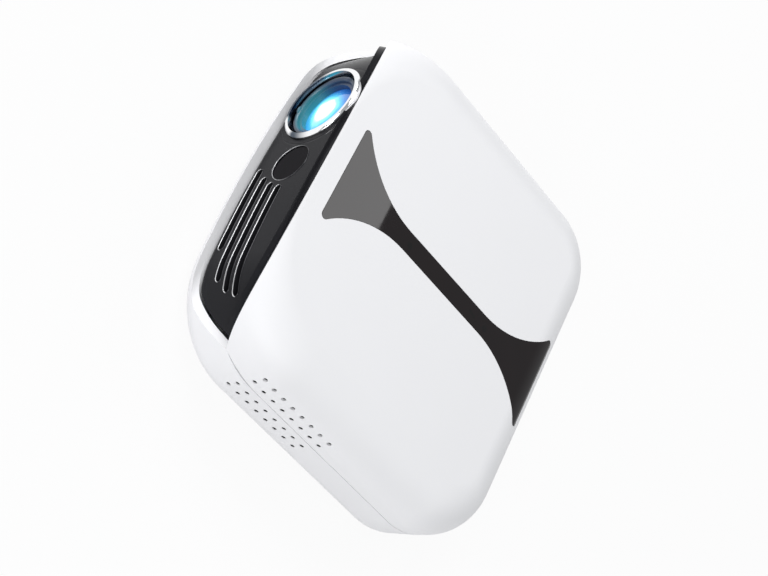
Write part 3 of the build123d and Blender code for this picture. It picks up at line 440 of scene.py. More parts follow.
@finish("panel_gloss")
def panel_gloss(paint):
    """Dark glass with three faint touch marks: two round ones, and a short bar between them."""
    colour = tuple(bpy.context.scene.projector.panel_colour)
    at = paint.place()
    x, y, _ = paint.parts(at)
    slow = paint.noise(at, 0.15, 2.0)
    first, second = (
        from_axis(x - mark_x, y - mark_y).fall(*ROUND_MARK_EDGE) for mark_x, mark_y in ROUND_MARKS
    )
    along = (y - BAR_Y + x * BAR_LEAN).size().fall(*BAR_HALF_LENGTH)
    across = (x - BAR_X - (y - BAR_Y) * BAR_LEAN).size().fall(*BAR_HALF_WIDTH)
    marks = first.most(second).most(along * across)
    glass = paint.blend(slow, scaled(colour, 0.7), colour)
    paint.set(
        base_color=paint.blend(marks * 0.8, glass, (0.002, 0.002, 0.002)),
        roughness=slow.step(*SPREAD, 0.012, 0.03),
        specular_ior_level=0.5,
    )


@finish("trim_chrome")
def trim_chrome(paint):
    """Polished metal whose colour holds a painted reflection: near white in fans, a wide one
    towards the lid and a narrow one below, and dark between them. It holds the fine lines of its
    turning."""
    at = paint.place((LENS_X, 0, LENS_Z))
    x, _, z = paint.parts(at)
    lines = (from_axis(x, z) * TURNING_LINES).wave()
    scuff = paint.noise(at, 1.2, 4.0)
    angle = z.math("ARCTAN2", x)
    wide = (angle - WIDE_PAINTED_GLINT).wave().step(-0.5, 0.05)
    narrow = (angle - NARROW_PAINTED_GLINT).wave().step(0.9, 0.97)
    # painted reflection: near white in the two fans of painted glint, dark between them
    tone = paint.blend(wide.most(narrow), (0.05, 0.07, 0.1), (0.99, 0.99, 1.0))
    paint.set(
        base_color=paint.blend(scuff * 0.06, tone, (0.6, 0.61, 0.64)),
        metallic=1.0,
        roughness=scuff.step(*SPREAD, 0.08, 0.16),
    )
    paint.bump(lines, 0.004, 0.25)


@finish("ring_dark")
def ring_dark(paint):
    """Dark rings round the lens. The lens's light on their inner walls is a painted glow, most on
    the side away from the lid, where the wall is seen from above."""
    grained(paint, (0.03, 0.045, 0.07), rough=0.3, grain=4.0, depth=0.008, tone=0.15)
    # painted light: a teal to blue glow on the inner walls, stronger deeper in and away from the
    # lid
    x, y, z = paint.parts(paint.place((LENS_X, FOCUS_LOW[1], LENS_Z)))
    inside = from_axis(x, z).fall(8.3, 8.9)
    below = (z * 0.9 - x * 0.3).step(-8.0, 4.0, 1.0, 0.2)
    deep = y.step(0.0, 6.0, 0.35, 1.0)
    painted_spill = inside * below * deep
    teal = (z + x.size() * 0.45).fall(-4.5, 2.5)
    lit = paint.blend(teal, (0.01, 0.09, 0.42), (0.03, 0.5, 0.6))
    paint.set(
        emission_color=paint.blend(painted_spill, (0.0, 0.0, 0.0), lit),
        emission_strength=bpy.context.scene.projector.painted_spill_strength,
    )


@finish("inner_plastic")
def inner_plastic(paint):
    grained(paint, (0.05, 0.05, 0.055), rough=0.5, grain=3.0, depth=0.02, tone=0.1)


@finish("lens_glass")
def lens_glass(paint):
    coat = paint.noise(paint.place(), 0.3, 2.0)
    paint.set(
        base_color=paint.blend(coat, (0.55, 0.7, 0.95), (0.8, 0.75, 0.98)),
        roughness=coat.step(0.2, 0.8, 0.02, 0.05),
        transmission_weight=0.85,
        ior=1.5,
        coat_weight=0.5,
        coat_roughness=0.02,
    )


@finish("lens_lit")
def lens_lit(paint):
    """Front lens with the lamp on: a white middle, a cyan ring and a deep blue rim. The glow
    reaches further towards the underside than towards the lid."""
    look = bpy.context.scene.projector
    at = paint.place((LENS_X + look.spot_offset, 0, LENS_Z + look.spot_offset))
    x, _, z = paint.parts(at)
    radius = from_axis(x, z) * z.step(-4.0, 4.0, 0.66, 1.12)
    mottled = radius + (paint.noise(at, 0.35, 3.0) - 0.5) * 1.2
    stops = [
        (0.0, (1.0, 1.0, 1.0)),
        (0.24, (0.85, 1.0, 1.0)),
        (0.33, (0.16, 0.62, 0.78)),
        (0.45, (0.03, 0.28, 0.56)),
        (0.62, (0.01, 0.1, 0.38)),
        (0.95, (0.0, 0.03, 0.16)),
    ]
    paint.set(
        base_color=paint.blend(mottled.step(0.0, 8.0), (0.1, 0.4, 0.5), (0.01, 0.03, 0.08)),
        roughness=mottled.step(0.0, 8.0, 0.03, 0.06),
        coat_weight=1.0,
        coat_roughness=0.02,
        emission_color=paint.add("ShaderNodeValToRGB", {"stops": stops}, [mottled / GLOW_REACH]),
        emission_strength=look.glow_strength,
    )


@finish("window_tint")
def window_tint(paint):
    dark, pale = (0.002, 0.002, 0.003), (0.005, 0.004, 0.006)
    worn(paint, dark, pale, gloss=(0.05, 0.09), noise=(0.3, 2.0), specular_ior_level=0.03)


def painted_highlight_rim(paint, pale):
    """Painted highlight on a polished edge: pale at factor 1, nearly as dark as the visor at 0."""
    wear = paint.noise(paint.place(), 1.4, 3.0)
    bright = paint.blend(wear, (0.5, 0.5, 0.51), (0.75, 0.75, 0.77))
    paint.set(
        base_color=paint.blend(pale, (0.04, 0.04, 0.045), bright),
        metallic=0.5,
        roughness=wear.step(*SPREAD, 0.16, 0.26),
    )


@finish("slot_rim")
def slot_rim(paint):
    """Each slot's lower edge has a painted highlight, and its upper edge painted shade."""
    z = paint.parts(paint.place((0, 0, SLOT_LOW)))[2]
    # painted highlight on each slot's lower edge, painted shade on its upper edge
    painted_highlight_rim(paint, (z * (tau / SLOT_PITCH)).wave().fall(-0.4, 0.3))


@finish("window_rim")
def window_rim(paint):
    """The window's lower edge has a painted highlight that fades to dark towards the top."""
    z = paint.parts(paint.place((0, 0, LENS_Z)))[2]
    # painted highlight below, fading to dark above
    painted_highlight_rim(paint, z.step(-4.0, 3.0, 0.8, 0.0))


@finish("contact_gold")
def contact_gold(paint):
    dark, pale = (0.62, 0.42, 0.12), (0.9, 0.68, 0.3)
    worn(paint, dark, pale, gloss=(0.18, 0.3), noise=(3.0, 3.0), metallic=1.0)


@finish("chip_black")
def chip_black(paint):
    grained(paint, (0.025, 0.025, 0.027), rough=0.55, grain=6.0, depth=0.01, tone=0.15)


@finish("engine_alloy")
def engine_alloy(paint):
    dark, pale = (0.42, 0.43, 0.45), (0.6, 0.61, 0.63)
    cast = (1.6, 4.0, 0.7)
    worn(paint, dark, pale, gloss=(0.42, 0.6), noise=cast, bump=(0.03, 0.4), metallic=0.9)


@finish("copper")
def copper(paint):
    """Dulled copper with the fine lines of its drawing."""
    dark, pale = (0.5, 0.22, 0.12), (0.8, 0.42, 0.28)
    worn(paint, dark, pale, gloss=(0.22, 0.4), noise=(0.5, 4.0), metallic=1.0)
    paint.bump(paint.noise(paint.place(), 4.0, 2.0), 0.006, 0.3)


def lamp_face(paint, colour):
    """An LED package under a clear coat."""
    worn(
        paint, scaled(colour, 0.6), colour, gloss=(0.12, 0.22), noise=(2.5, 3.0),
        coat_weight=0.8, coat_roughness=0.05,
    )


@finish("led_red")
def led_red(paint):
    lamp_face(paint, (0.72, 0.08, 0.04))


@finish("led_green")
def led_green(paint):
    lamp_face(paint, (0.1, 0.55, 0.14))


@finish("led_blue")
def led_blue(paint):
    lamp_face(paint, (0.05, 0.16, 0.75))


@finish("mirror_coat")
def mirror_coat(paint):
    first, second = (0.75, 0.35, 0.7), (0.3, 0.6, 0.85)
    worn(paint, first, second, gloss=(0.04, 0.08), noise=(0.4, 1.0), metallic=0.85)


@finish("speaker_black")
def speaker_black(paint):
    grained(paint, (0.035, 0.035, 0.035), rough=0.6, grain=2.0, depth=0.03, tone=0.2)


@finish("battery_wrap")
def battery_wrap(paint):
    dark, pale = (0.5, 0.51, 0.54), (0.68, 0.69, 0.71)
    creases = (0.5, 5.0, 0.65)
    worn(paint, dark, pale, gloss=(0.3, 0.45), noise=creases, bump=(0.12, 0.5), metallic=0.5)


@finish("socket_steel")
def socket_steel(paint):
    """Drawn steel shells with dark plastic tongues."""
    drawn = paint.noise(paint.place(), 1.5, 3.0)
    tongues = []
    for node in ("video_socket", "data_socket"):
        low, high = box_mm(node)
        reach = (high[0] - low[0]) / 2 - SOCKET_WALL
        x, _, z = paint.parts(paint.place((low + high) / 2))
        tongues.append(x.size().fall(reach - 0.2, reach - 0.1) * z.size().fall(*TONGUE_BAND))
    tongue = tongues[0].most(tongues[1])
    steel = paint.blend(drawn, (0.48, 0.48, 0.5), (0.66, 0.66, 0.68))
    paint.set(
        base_color=paint.blend(tongue, steel, (0.015, 0.015, 0.017)),
        metallic=1.0 - tongue,
        roughness=drawn.step(*SPREAD, 0.22, 0.34),
    )
    paint.bump(drawn, 0.006, 0.3)


@finish("light_guide")
def light_guide(paint):
    dark, pale = (0.7, 0.76, 0.8), (0.85, 0.9, 0.94)
    worn(paint, dark, pale, gloss=(0.12, 0.22), noise=(1.0, 3.0), transmission_weight=0.6)


@finish("foot_rubber")
def foot_rubber(paint):
    grained(paint, (0.045, 0.045, 0.048), rough=0.75, grain=2.5, depth=0.04, tone=0.15)


@finish("nut_brass")
def nut_brass(paint):
    dark, pale = (0.55, 0.4, 0.15), (0.78, 0.6, 0.28)
    worn(paint, dark, pale, gloss=(0.2, 0.36), noise=(0.9, 4.0), bump=(0.01, 0.3), metallic=1.0)


@finish("screw_steel")
def screw_steel(paint):
    dark, pale = (0.1, 0.1, 0.11), (0.26, 0.26, 0.27)
    worn(paint, dark, pale, gloss=(0.28, 0.42), noise=(1.5, 4.0), bump=(0.008, 0.3), metallic=1.0)


@finish("board_green")
def board_green(paint):
    """Solder resist over copper runs: pale tracks in a grid of short straight lines."""
    at = paint.place()
    x, y, _ = paint.parts(at)
    patches = paint.noise(at, 0.22, 1.0)
    across = (x * 2.6).wave().step(0.72, 0.8) * patches.step(0.5, 0.52)
    along = (y * 2.6).wave().step(0.72, 0.8) * patches.step(0.48, 0.46)
    tracks = across.most(along)
    paint.set(
        base_color=paint.blend(tracks, (0.008, 0.09, 0.045), (0.02, 0.19, 0.1)),
        roughness=tracks.step(0.0, 1.0, 0.32, 0.26),
        coat_weight=0.4,
    )
    paint.bump(tracks, 0.03, 0.6)


def stage_floor(paint):
    """A pale floor that keeps shadows; camera, glossy and transmission rays see it nearly white."""
    drift = paint.noise(paint.place(), 0.01, 2.0)
    paint.set(
        base_color=paint.blend(drift, (0.7, 0.7, 0.71), (0.73, 0.73, 0.74)),
        roughness=0.7,
        specular_ior_level=0.2,
    )
    rays = paint.add("ShaderNodeLightPath").socket.node.outputs
    seen = Signal(paint, rays["Is Camera Ray"])
    for kind in ("Is Glossy Ray", "Is Transmission Ray"):
        seen = seen.most(Signal(paint, rays[kind]))
    white = paint.add("ShaderNodeEmission", None, {"Color": (1, 1, 1, 1), "Strength": 1.0})
    lit = Signal(paint, paint.surface.outputs[0])
    mixed = paint.add("ShaderNodeMixShader", None, [seen * FLOOR_WHITE, lit, white])
    paint.feed(paint.output.inputs["Surface"], mixed)


# ---------------------------------------------------------------- surfaces
def circle(count):
    """Angles round a full turn, without the last, which is the first again."""
    return np.linspace(0, tau, count, endpoint=False)


def sheet_mesh(name, grid, wrap_rows=False, wrap_columns=False):
    """A mesh from a grid of points, (rows, columns, 3) in millimetres: each cell is one face.
    Wrapped rows or columns join the last line of points to the first."""
    rows, columns = grid.shape[:2]
    index = np.arange(rows * columns).reshape(rows, columns)
    if wrap_rows:
        index = np.vstack([index, index[:1]])
    if wrap_columns:
        index = np.hstack([index, index[:, :1]])
    corners = [index[:-1, :-1], index[1:, :-1], index[1:, 1:], index[:-1, 1:]]
    faces = np.stack(corners, -1).reshape(-1, 4)
    mesh = bpy.data.meshes.new(name)
    mesh.from_pydata((grid.reshape(-1, 3) * MM).tolist(), [], faces.tolist())
    mesh.update()
    return mesh


def merge(name, meshes):
    """One mesh of several whose faces all have four corners, with their points end to end."""
    points, faces, start = [], [], 0
    for mesh in meshes:
        co = np.zeros(len(mesh.vertices) * 3)
        corners = np.zeros(len(mesh.loops), int)
        mesh.vertices.foreach_get("co", co)
        mesh.loops.foreach_get("vertex_index", corners)
        points.append(co.reshape(-1, 3))
        faces.append(corners.reshape(-1, 4) + start)
        start += len(mesh.vertices)
        bpy.data.meshes.remove(mesh)
    whole = bpy.data.meshes.new(name)
    whole.from_pydata(np.vstack(points).tolist(), [], np.vstack(faces).tolist())
    whole.update()
    return whole


def weld(mesh, reach_mm=1e-4):
    """Joins the points that lie on one another, which closes the poles of turned surfaces."""
    work = bmesh.new()
    work.from_mesh(mesh)
    bmesh.ops.remove_doubles(work, verts=work.verts, dist=reach_mm * MM)
    work.to_mesh(mesh)
    work.free()


def piece(name, mesh, body, slot, finish_name=None, angle=35.0):
    """Puts a finished mesh in the scene on its body, smooth but for edges sharper than angle."""
    weld(mesh)
    obj = bpy.data.objects.new(name, mesh)
    bpy.context.scene.collection.objects.link(obj)
    mesh.polygons.foreach_set("use_smooth", [True] * len(mesh.polygons))
    mesh.set_sharp_from_angle(angle=radians(angle))
    mesh.materials.append(material(finish_name or slot))
    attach(obj, body)
    return obj


def turned(name, profile, centre, axis=(0, -1, 0), segments=128, ripple=None):
    """A closed profile carried round an axis. A profile point (r, s) lies r from the axis and s
    along it from the centre; at angle t it stands at centre + r (cos t, sin t) + s axis.
    Ripple, if given, is an amount added to r that depends on t and on the profile point."""
    profile = np.asarray(profile, float)
    axis = np.asarray(axis, float)
    side = np.cross(axis, (0, 0, 1.0)) if abs(axis[2]) < 0.9 else np.array((1.0, 0, 0))
    side /= np.linalg.norm(side)
    other = np.cross(axis, side)
    t = circle(segments)[:, None]
    r = profile[None, :, 0] + np.zeros_like(t)
    if ripple is not None:
        r = r + ripple(t, profile[None, :, :])
    spokes = np.cos(t)[..., None] * side + np.sin(t)[..., None] * other
    grid = np.asarray(centre, float) + r[..., None] * spokes + profile[None, :, 1, None] * axis
    return sheet_mesh(name, grid[::-1], wrap_rows=True, wrap_columns=True)


def rounded(profile, radius, steps=4):
    """A closed profile with each corner replaced by a curve that starts radius before it, or less
    where a side is short. At share t the curve is (1-t)^2 start + 2t(1-t) corner + t^2 end."""
    profile = np.asarray(profile, float)

    def beside(neighbour):
        run = neighbour - profile
        length = np.linalg.norm(run, axis=1)[:, None]
        return profile + run / length * np.minimum(radius, length * 0.45)

    start = beside(np.roll(profile, 1, 0))[:, None]
    end = beside(np.roll(profile, -1, 0))[:, None]
    t = np.linspace(0, 1, steps)[None, :, None]
    curve = (1 - t) ** 2 * start + 2 * t * (1 - t) * profile[:, None] + t**2 * end
    return curve.reshape(-1, 2)


def skin_x(node, y, z, reach=90.0):
    """The x, in millimetres, at which a ray from the right side meets a CAD node at (y, z)."""
    place = node.ray_cast(Vector((reach, y, z)) * MM, Vector((-1, 0, 0)))[1]
    return place.x / MM


def visor_skin(x):
    """The visor's face in plan at x: its y, and the unit vectors along it and out of it. The face
    is a shallow arc of radius FACE_ARC; past the corner's start it is an arc of CORNER_ARC that
    touches both that arc and the side, so its middle lies FACE_ARC - CORNER_ARC from the arc's."""
    x = np.asarray(x, float)
    side = np.abs(x)
    corner_x = HALF_WIDTH - CORNER_ARC
    centre_y = FACE_Y + FACE_ARC
    corner_y = centre_y - np.sqrt((FACE_ARC - CORNER_ARC) ** 2 - corner_x**2)
    on_corner = side > corner_x * FACE_ARC / (FACE_ARC - CORNER_ARC)
    middle_x = np.where(on_corner, corner_x, 0.0)
    middle_y = np.where(on_corner, corner_y, centre_y)
    radius = np.where(on_corner, CORNER_ARC, FACE_ARC)
    lean = np.arcsin(np.clip((side - middle_x) / radius, -1, 1)) * np.sign(x)
    y = middle_y - radius * np.cos(lean)
    still = np.zeros_like(y)
    along = np.stack([np.cos(lean), np.sin(lean), still], -1)
    out = np.stack([np.sin(lean), -np.cos(lean), still], -1)
    return y, along, out


def bead(name, x, z, across, upward, width, height):
    """A rim laid on the visor's face along a closed line of points (x, z), with the direction
    (across, upward) away from the line's inside at each. Its section is an ellipse that reaches
    width along the face and height off it, from a middle 0.9 width outside the line."""
    y, along, out = visor_skin(x)
    turn = circle(10)
    outward = across[:, None] * along + upward[:, None] * np.array((0, 0, 1.0))
    line = np.stack([x, y, z], -1)
    flat = width * (0.9 + np.cos(turn))[None, :, None] * outward[:, None]
    lift = height * np.sin(turn)[None, :, None] * out[:, None]
    return sheet_mesh(name, line[:, None] + (flat + lift), wrap_rows=True, wrap_columns=True)


def stadium(start, end, height, width, steps=20):
    """Points (x, z) round a slot with half round ends, and the outward direction at each: round
    the right end, back along the top, round the left end and on along the bottom."""
    turn = np.linspace(-pi / 2, pi / 2, steps)
    radius = width / 2
    run = np.linspace(0, 1, 24)[1:-1]
    left, right = start + radius, end - radius
    across = np.concatenate([np.cos(turn), 0 * run, -np.cos(turn), 0 * run])
    upward = np.concatenate([np.sin(turn), 1 + 0 * run, -np.sin(turn), -1 + 0 * run])
    top, bottom = right + (left - right) * run, left + (right - left) * run
    along = np.concatenate([right + 0 * turn, top, left + 0 * turn, bottom])
    return along + radius * across, height + radius * upward, across, upward


def strip(name, middle, width_axis, width, thickness):
    """A thin bent strip: middle is its line of points, carried width across along width_axis, and
    its two ends close on the line's own ends. At angle t its section is an oval with squarish
    corners, cos t and sin t each raised to 0.4 with their signs kept."""
    middle = np.asarray(middle, float)
    width_axis = np.asarray(width_axis, float)
    run = np.gradient(middle, axis=0)
    lift = np.cross(run, width_axis)
    lift /= np.linalg.norm(lift, axis=1)[:, None]
    turn = (np.arange(8) + 0.5) * tau / 8
    wide, high = (np.sign(v) * np.abs(v) ** 0.4 / 2 for v in (np.cos(turn), np.sin(turn)))
    section = wide[None, :, None] * width_axis * width
    section = section + high[None, :, None] * lift[:, None] * thickness
    grid = middle[:, None] + section
    ends = middle[[0, -1], None] + 0 * section[:2]
    return sheet_mesh(name, np.concatenate([ends[1:], grid[::-1], ends[:1]]), wrap_columns=True)


def closed(face, up, depth):
    """A round face, whose rows of points run from its middle to its rim, with a flat underside
    that lies depth below the rim."""
    drop = np.asarray(up, float) * depth
    pole = 0 * face[:1] + face[-1:].mean(1, keepdims=True)
    return np.concatenate([face, face[-1:] - drop, pole - drop])


def screw_face(name, centre, up, radius, rise):
    """A domed screw face with a cross recess. At radius r and angle t the dome stands
    rise (1 - (r / radius)^2) high. The cross drops 2.2 times the rise; its arms are two fifths of
    the radius wide, end at 0.62 of it and slope up to their ends. A flat underside closes it."""
    r = np.linspace(0, 1, 30)[:, None] * radius
    t = circle(72)[None, :]
    x, y = r * np.cos(t), r * np.sin(t)
    arm = np.minimum(np.abs(x), np.abs(y)) / (0.2 * radius)
    reach = r / (0.62 * radius)
    cross = np.clip((1.15 - arm) / 0.3, 0, 1) * np.clip((1 - reach) / 0.25, 0, 1)
    height = rise * (1 - (r / radius) ** 2) - 2.2 * rise * cross
    face = closed(np.stack([x, y * up, height * up], -1), (0, 0, up), 1.5 * rise)
    return sheet_mesh(name, np.asarray(centre, float) + face, wrap_columns=True)


def grip(front, degrees):
    """A grip on the focus ring's front. Along the rim, at share u of its reach either way, it
    swells by the root of cos(u pi / 2); at angle s its section is an ellipse that stands the
    swell times GRIP_HEIGHT high and narrows from GRIP_HALF_WIDTH to 0.4 of it at the ends."""
    u = np.linspace(-1, 1, 13)[:, None]
    t = radians(degrees) + GRIP_REACH * u
    s = circle(16)[None, :]
    swell = np.cos(u * pi / 2) ** 0.5
    r = GRIP_RADIUS + GRIP_HALF_WIDTH * np.cos(s) * (0.4 + 0.6 * swell)
    y = front + CLEAR - GRIP_HEIGHT * np.sin(s) * swell
    grid = np.stack([LENS_X + r * np.cos(t), y, LENS_Z + r * np.sin(t)], -1)
    return sheet_mesh("grip", grid, wrap_columns=True)


def cone(low, high):
    """The speaker's cone over its frame's box. At share r of the way to the rim, a roll rises and
    falls as a half sine over the outer fifth, the cone falls to the middle by (1 - r / 0.8)^0.7,
    and a cap bulges from it as a half ellipse. In plan it is a squarish round: the half widths
    times r, over the fourth root of cos^4 t + sin^4 t."""
    inset, set_back = 1.6, 0.55
    half = (high - low)[1:] / 2 - inset
    middle = (low + high)[1:] / 2
    r = np.linspace(0, 1, 40)[:, None]
    t = circle(120)[None, :]
    roll = 0.34 * np.sin(np.clip((r - 0.8) / 0.2, 0, 1) * pi)
    fall = -0.3 * np.clip(1 - r / 0.8, 0, 1) ** 0.7
    cap = 0.32 * np.sqrt(np.clip(1 - (r / 0.36) ** 2, 0, 1))
    squarish = (np.abs(np.cos(t)) ** 4 + np.abs(np.sin(t)) ** 4) ** -0.25
    x = high[0] - set_back + roll + fall + cap + 0 * t
    y = middle[0] + half[0] * r * squarish * np.cos(t)
    z = middle[1] + half[1] * r * squarish * np.sin(t)
    face = closed(np.stack([x, y, z], -1), (1, 0, 0), 0.6)
    return sheet_mesh("speaker_cone", face, wrap_columns=True)


def leaves(node, pitch, count, width, side):
    """A row of contact leaves on one side of a socket's tongue. A leaf lies along the tongue; at
    share t of its length it has a hump 0.1 exp(-((t - 0.12) / 0.08)^2) high, and its tip dips."""
    low, high = box_mm(node)
    middle = (low + high) / 2
    t = np.linspace(0, 1, 12)
    y = high[1] - LEAF_SET_BACK - t * (high[1] - low[1] - LEAF_SHORTER)
    hump = 0.1 * np.exp(-(((t - 0.12) / 0.08) ** 2)) - 0.06 * np.clip(1 - t / 0.06, 0, 1)
    z = middle[2] + side * (TONGUE_HALF + LEAF_LIFT + hump)
    row = []
    for i in range(count):
        x = middle[0] + (i - (count - 1) / 2) * pitch
        row.append(strip("leaf", np.stack([x + 0 * t, y, z], -1), (1, 0, 0), width, LEAF_THICKNESS))
    return row


def thread(low, high, pitch):
    """The tripod nut's thread as a closed sleeve. At height z and angle t its bore narrows by a
    ridge that rises and falls once in each turn of z / pitch - t / tau, and fades out near both
    ends. Its outer wall stands inside the nut."""
    x, y = (low[:2] + high[:2]) / 2
    z = np.linspace(low[2] + CLEAR, high[2] - CLEAR, 110)[:, None]
    t = circle(96)[None, :]
    phase = np.mod(z / pitch - t / tau, 1.0)
    ridge = np.clip(1.25 * (1 - np.abs(2 * phase - 1)) - 0.1, 0, 1)
    fade = np.clip(np.minimum(z - low[2], high[2] - z) / THREAD_FADE, 0, 1)
    r = NUT_BORE - THREAD_DEPTH * ridge * fade
    r = np.concatenate([r, np.full((2, t.size), SLEEVE_OUTER)])
    z = np.concatenate([z, z[-1:], z[:1]])
    grid = np.stack([x + r * np.cos(t), y + r * np.sin(t), z + 0 * t], -1)
    return sheet_mesh("nut_thread", grid, wrap_rows=True, wrap_columns=True)


# ---------------------------------------------------------------- settings
class ProjectorLook(bpy.types.PropertyGroup):
    """Colours and sizes of the projector's finishes."""

    shell_colour: FloatVectorProperty(
        name="Shell", description="Colour of the two shells",
        subtype="COLOR", default=(0.8, 0.8, 0.815), min=0, max=1)
    shell_roughness: FloatProperty(
        name="Shell roughness", description="How matt the shells are", default=0.42, min=0, max=1)
    visor_colour: FloatVectorProperty(
        name="Visor", description="Colour of the front visor",
        subtype="COLOR", default=(0.016, 0.016, 0.0185), min=0, max=1)
    panel_colour: FloatVectorProperty(
        name="Panel", description="Colour of the touch strip",
        subtype="COLOR", default=(0.007, 0.0035, 0.004), min=0, max=1)
    glow_strength: FloatProperty(
        name="Glow", description="How bright the lens is", default=1.6, min=0, max=20)
    spot_offset: FloatProperty(
        name="Spot offset", description="Hot spot from the lens's middle, in millimetres",
        default=0.4, min=-5, max=5)
    # strength of the painted glow of the lens's light on the rings round it
    painted_spill_strength: FloatProperty(
        name="Spill", description="How bright the lens's light is on the rings round it",
        default=0.7, min=0, max=20)
    rim_width: FloatProperty(
        name="Rim width", description="Half width of the rims round the slots, in millimetres",
        default=0.11, min=0.02, max=0.5)
    rim_height: FloatProperty(
        name="Rim height", description="How far the rims stand off the visor, in millimetres",
        default=0.14, min=0.02, max=0.5)
    thread_pitch: FloatProperty(
        name="Thread pitch", description="Pitch of the tripod nut's thread, in millimetres",
        default=1.27, min=0.3, max=3)
    knurls: IntProperty(
        name="Knurls", description="Number of fine ribs round the focus ring",
        default=72, min=12, max=200)
    sky: FloatProperty(
        name="Sky", description="Strength of the plain surroundings", default=0.36, min=0, max=2)
    lamp_power: FloatProperty(
        name="Lamp power", description="Power that the lamps take their shares of",
        subtype="POWER", default=2.0, min=0)


# ---------------------------------------------------------------- steps
class PROJECTOR_OT_finishes(bpy.types.Operator):
    """Give every CAD node the finish of its material slot"""

    bl_idname = "projector.finishes"
    bl_label = "Finishes"

    def execute(self, context):
        slots = {s["node"]: s["material_slot"] for s in frame["record"]["subparts"]}
        lit = {"front_lens": "lens_lit"}
        for name, obj in NODES.items():
            chosen = material(lit.get(name, slots[name]))
            obj.data.materials.clear()
            obj.data.materials.append(chosen)
        return {"FINISHED"}


class PROJECTOR_OT_trim(bpy.types.Operator):
    """Turn the bright trim ring round the lens"""

    bl_idname = "projector.trim"
    bl_label = "Trim ring"

    def execute(self, context):
        outer = (TRIM_HIGH[0] - TRIM_LOW[0]) / 2
        bore = outer - TRIM_FLANGE
        depth = TRIM_HIGH[1] - TRIM_LOW[1]
        edge, sleeve = outer - CLEAR, bore + TRIM_LIP - CLEAR
        flange_back, back = TRIM_SLEEVE - depth + CLEAR, CLEAR - depth
        profile = rounded(
            [
                (bore + CLEAR, 0.15),
                (bore + TRIM_LIP, 0.0),
                (outer - 0.5, -CLEAR),
                (edge, -0.5),
                (edge, flange_back),
                (sleeve, flange_back),
                (sleeve, back),
                (bore - TRIM_LIP, back),
                (bore - TRIM_LIP, 0.4 - depth),
                (bore + CLEAR, 0.45 - depth),
            ],
            0.22,
        )
        profile[:, 1] = np.minimum(profile[:, 1], 0.0)
        ring = turned("trim_ring", profile, (LENS_X, TRIM_LOW[1], LENS_Z), segments=160)
        obj = piece("trim_ring", ring, "casing", "trim_chrome")
        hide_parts("lens_trim")
        return {"FINISHED"}


class PROJECTOR_OT_focus(bpy.types.Operator):
    """Turn the focus ring, with fine ribs and three grips on its rim"""

    bl_idname = "projector.focus"
    bl_label = "Focus ring"

    def execute(self, context):
        knurls = context.scene.projector.knurls
        front = FOCUS_LOW[1] + GRIP_PROUD
        length = FOCUS_HIGH[1] - front
        profile = rounded(
            [
                (FOCUS_BORE, -0.35),
                (FOCUS_BORE + 0.5, 0.0),
                (FOCUS_OUTER - 0.15, 0.0),
                (FOCUS_OUTER, -0.25),
                (FOCUS_OUTER, SKIRT_LENGTH + 0.2 - length),
                (SKIRT_OUTER, SKIRT_LENGTH - length),
                (SKIRT_OUTER, -length),
                (SKIRT_BORE, -length),
                (SKIRT_BORE, SKIRT_DEPTH - length),
                (FOCUS_BORE, SKIRT_DEPTH + 0.1 - length),
            ],
            0.15,
        )

        def ribs(t, p):
            """Fine ribs: 0.5 - 0.5 cos(knurls t), on the outside near the front alone."""
            on_front = np.clip((p[..., 1] + 3.0) / 2.0, 0, 1) * (p[..., 0] > 8.9)
            return -RIB_DEPTH * (0.5 - 0.5 * np.cos(t * knurls)) * on_front

        centre = (LENS_X, front, LENS_Z)
        ring = turned("ring", profile, centre, segments=knurls * 6, ripple=ribs)
        whole = merge("focus_ring_ribbed", [ring, *(grip(front, a) for a in GRIP_ANGLES)])
        obj = piece("focus_ring_ribbed", whole, "focus", "ring_dark")
        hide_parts("focus_ring")
        return {"FINISHED"}


class PROJECTOR_OT_rims(bpy.types.Operator):
    """Lay a thin rim round each air slot and round the sensor window"""

    bl_idname = "projector.rims"
    bl_label = "Rims"

    def execute(self, context):
        look = context.scene.projector
        size = look.rim_width, look.rim_height
        beads = []
        for row, (start, end) in enumerate(SLOTS):
            line = stadium(start, end, SLOT_LOW + row * SLOT_PITCH, SLOT_WIDTH)
            beads.append(bead("rim", *line, *size))
        piece("slot_rims", merge("slot_rims", beads), "casing", "visor_black", "slot_rim")
        low, high = box_mm("sensor_window")
        middle = (low + high) / 2
        radius = (high[0] - low[0]) / 2 + 0.06
        across, upward = np.cos(circle(96)), np.sin(circle(96))
        x, z = middle[0] + radius * across, middle[2] + radius * upward
        rim = bead("window_rim", x, z, across, upward, *size)
        piece("window_rim", rim, "casing", "visor_black", "window_rim")
        return {"FINISHED"}


class PROJECTOR_OT_lining(bpy.types.Operator):
    """Line the side grille's holes with dark cups"""

    bl_idname = "projector.lining"
    bl_label = "Grille lining"

    def execute(self, context):
        radius, skin, depth, set_back = GRILLE_HOLE / 2 - CLEAR, 0.06, 1.3, 0.12
        floor = skin - depth
        profile = [
            (0, floor), (radius - skin, floor), (radius - skin, 0),
            (radius, 0), (radius, -depth), (0, -depth),
        ]
        around = ((1, 0), (-1, 0), (0, 1), (0, -1))
        cups = []
        for height in GRILLE_HEIGHTS:
            shell = NODES["top_shell" if height > 0 else "bottom_shell"]
            for row in range(GRILLE_ROWS):
                y, z = GRILLE_FIRST_Y + row * GRILLE_PITCH, PARTING_Z + height
                rim = min(skin_x(shell, y + dy, z + dz) for dy, dz in around)
                cups.append(turned("cup", profile, (rim - set_back, y, z), (1, 0, 0), segments=20))
        piece("grille_lining", merge("grille_lining", cups), "casing", "speaker_black")
        return {"FINISHED"}


class PROJECTOR_OT_cone(bpy.types.Operator):
    """Put the cone, its surround and its dust cap in the speaker's frame"""

    bl_idname = "projector.cone"
    bl_label = "Speaker cone"

    def execute(self, context):
        piece("speaker_cone", cone(*box_mm("speaker")), "casing", "speaker_black")
        return {"FINISHED"}


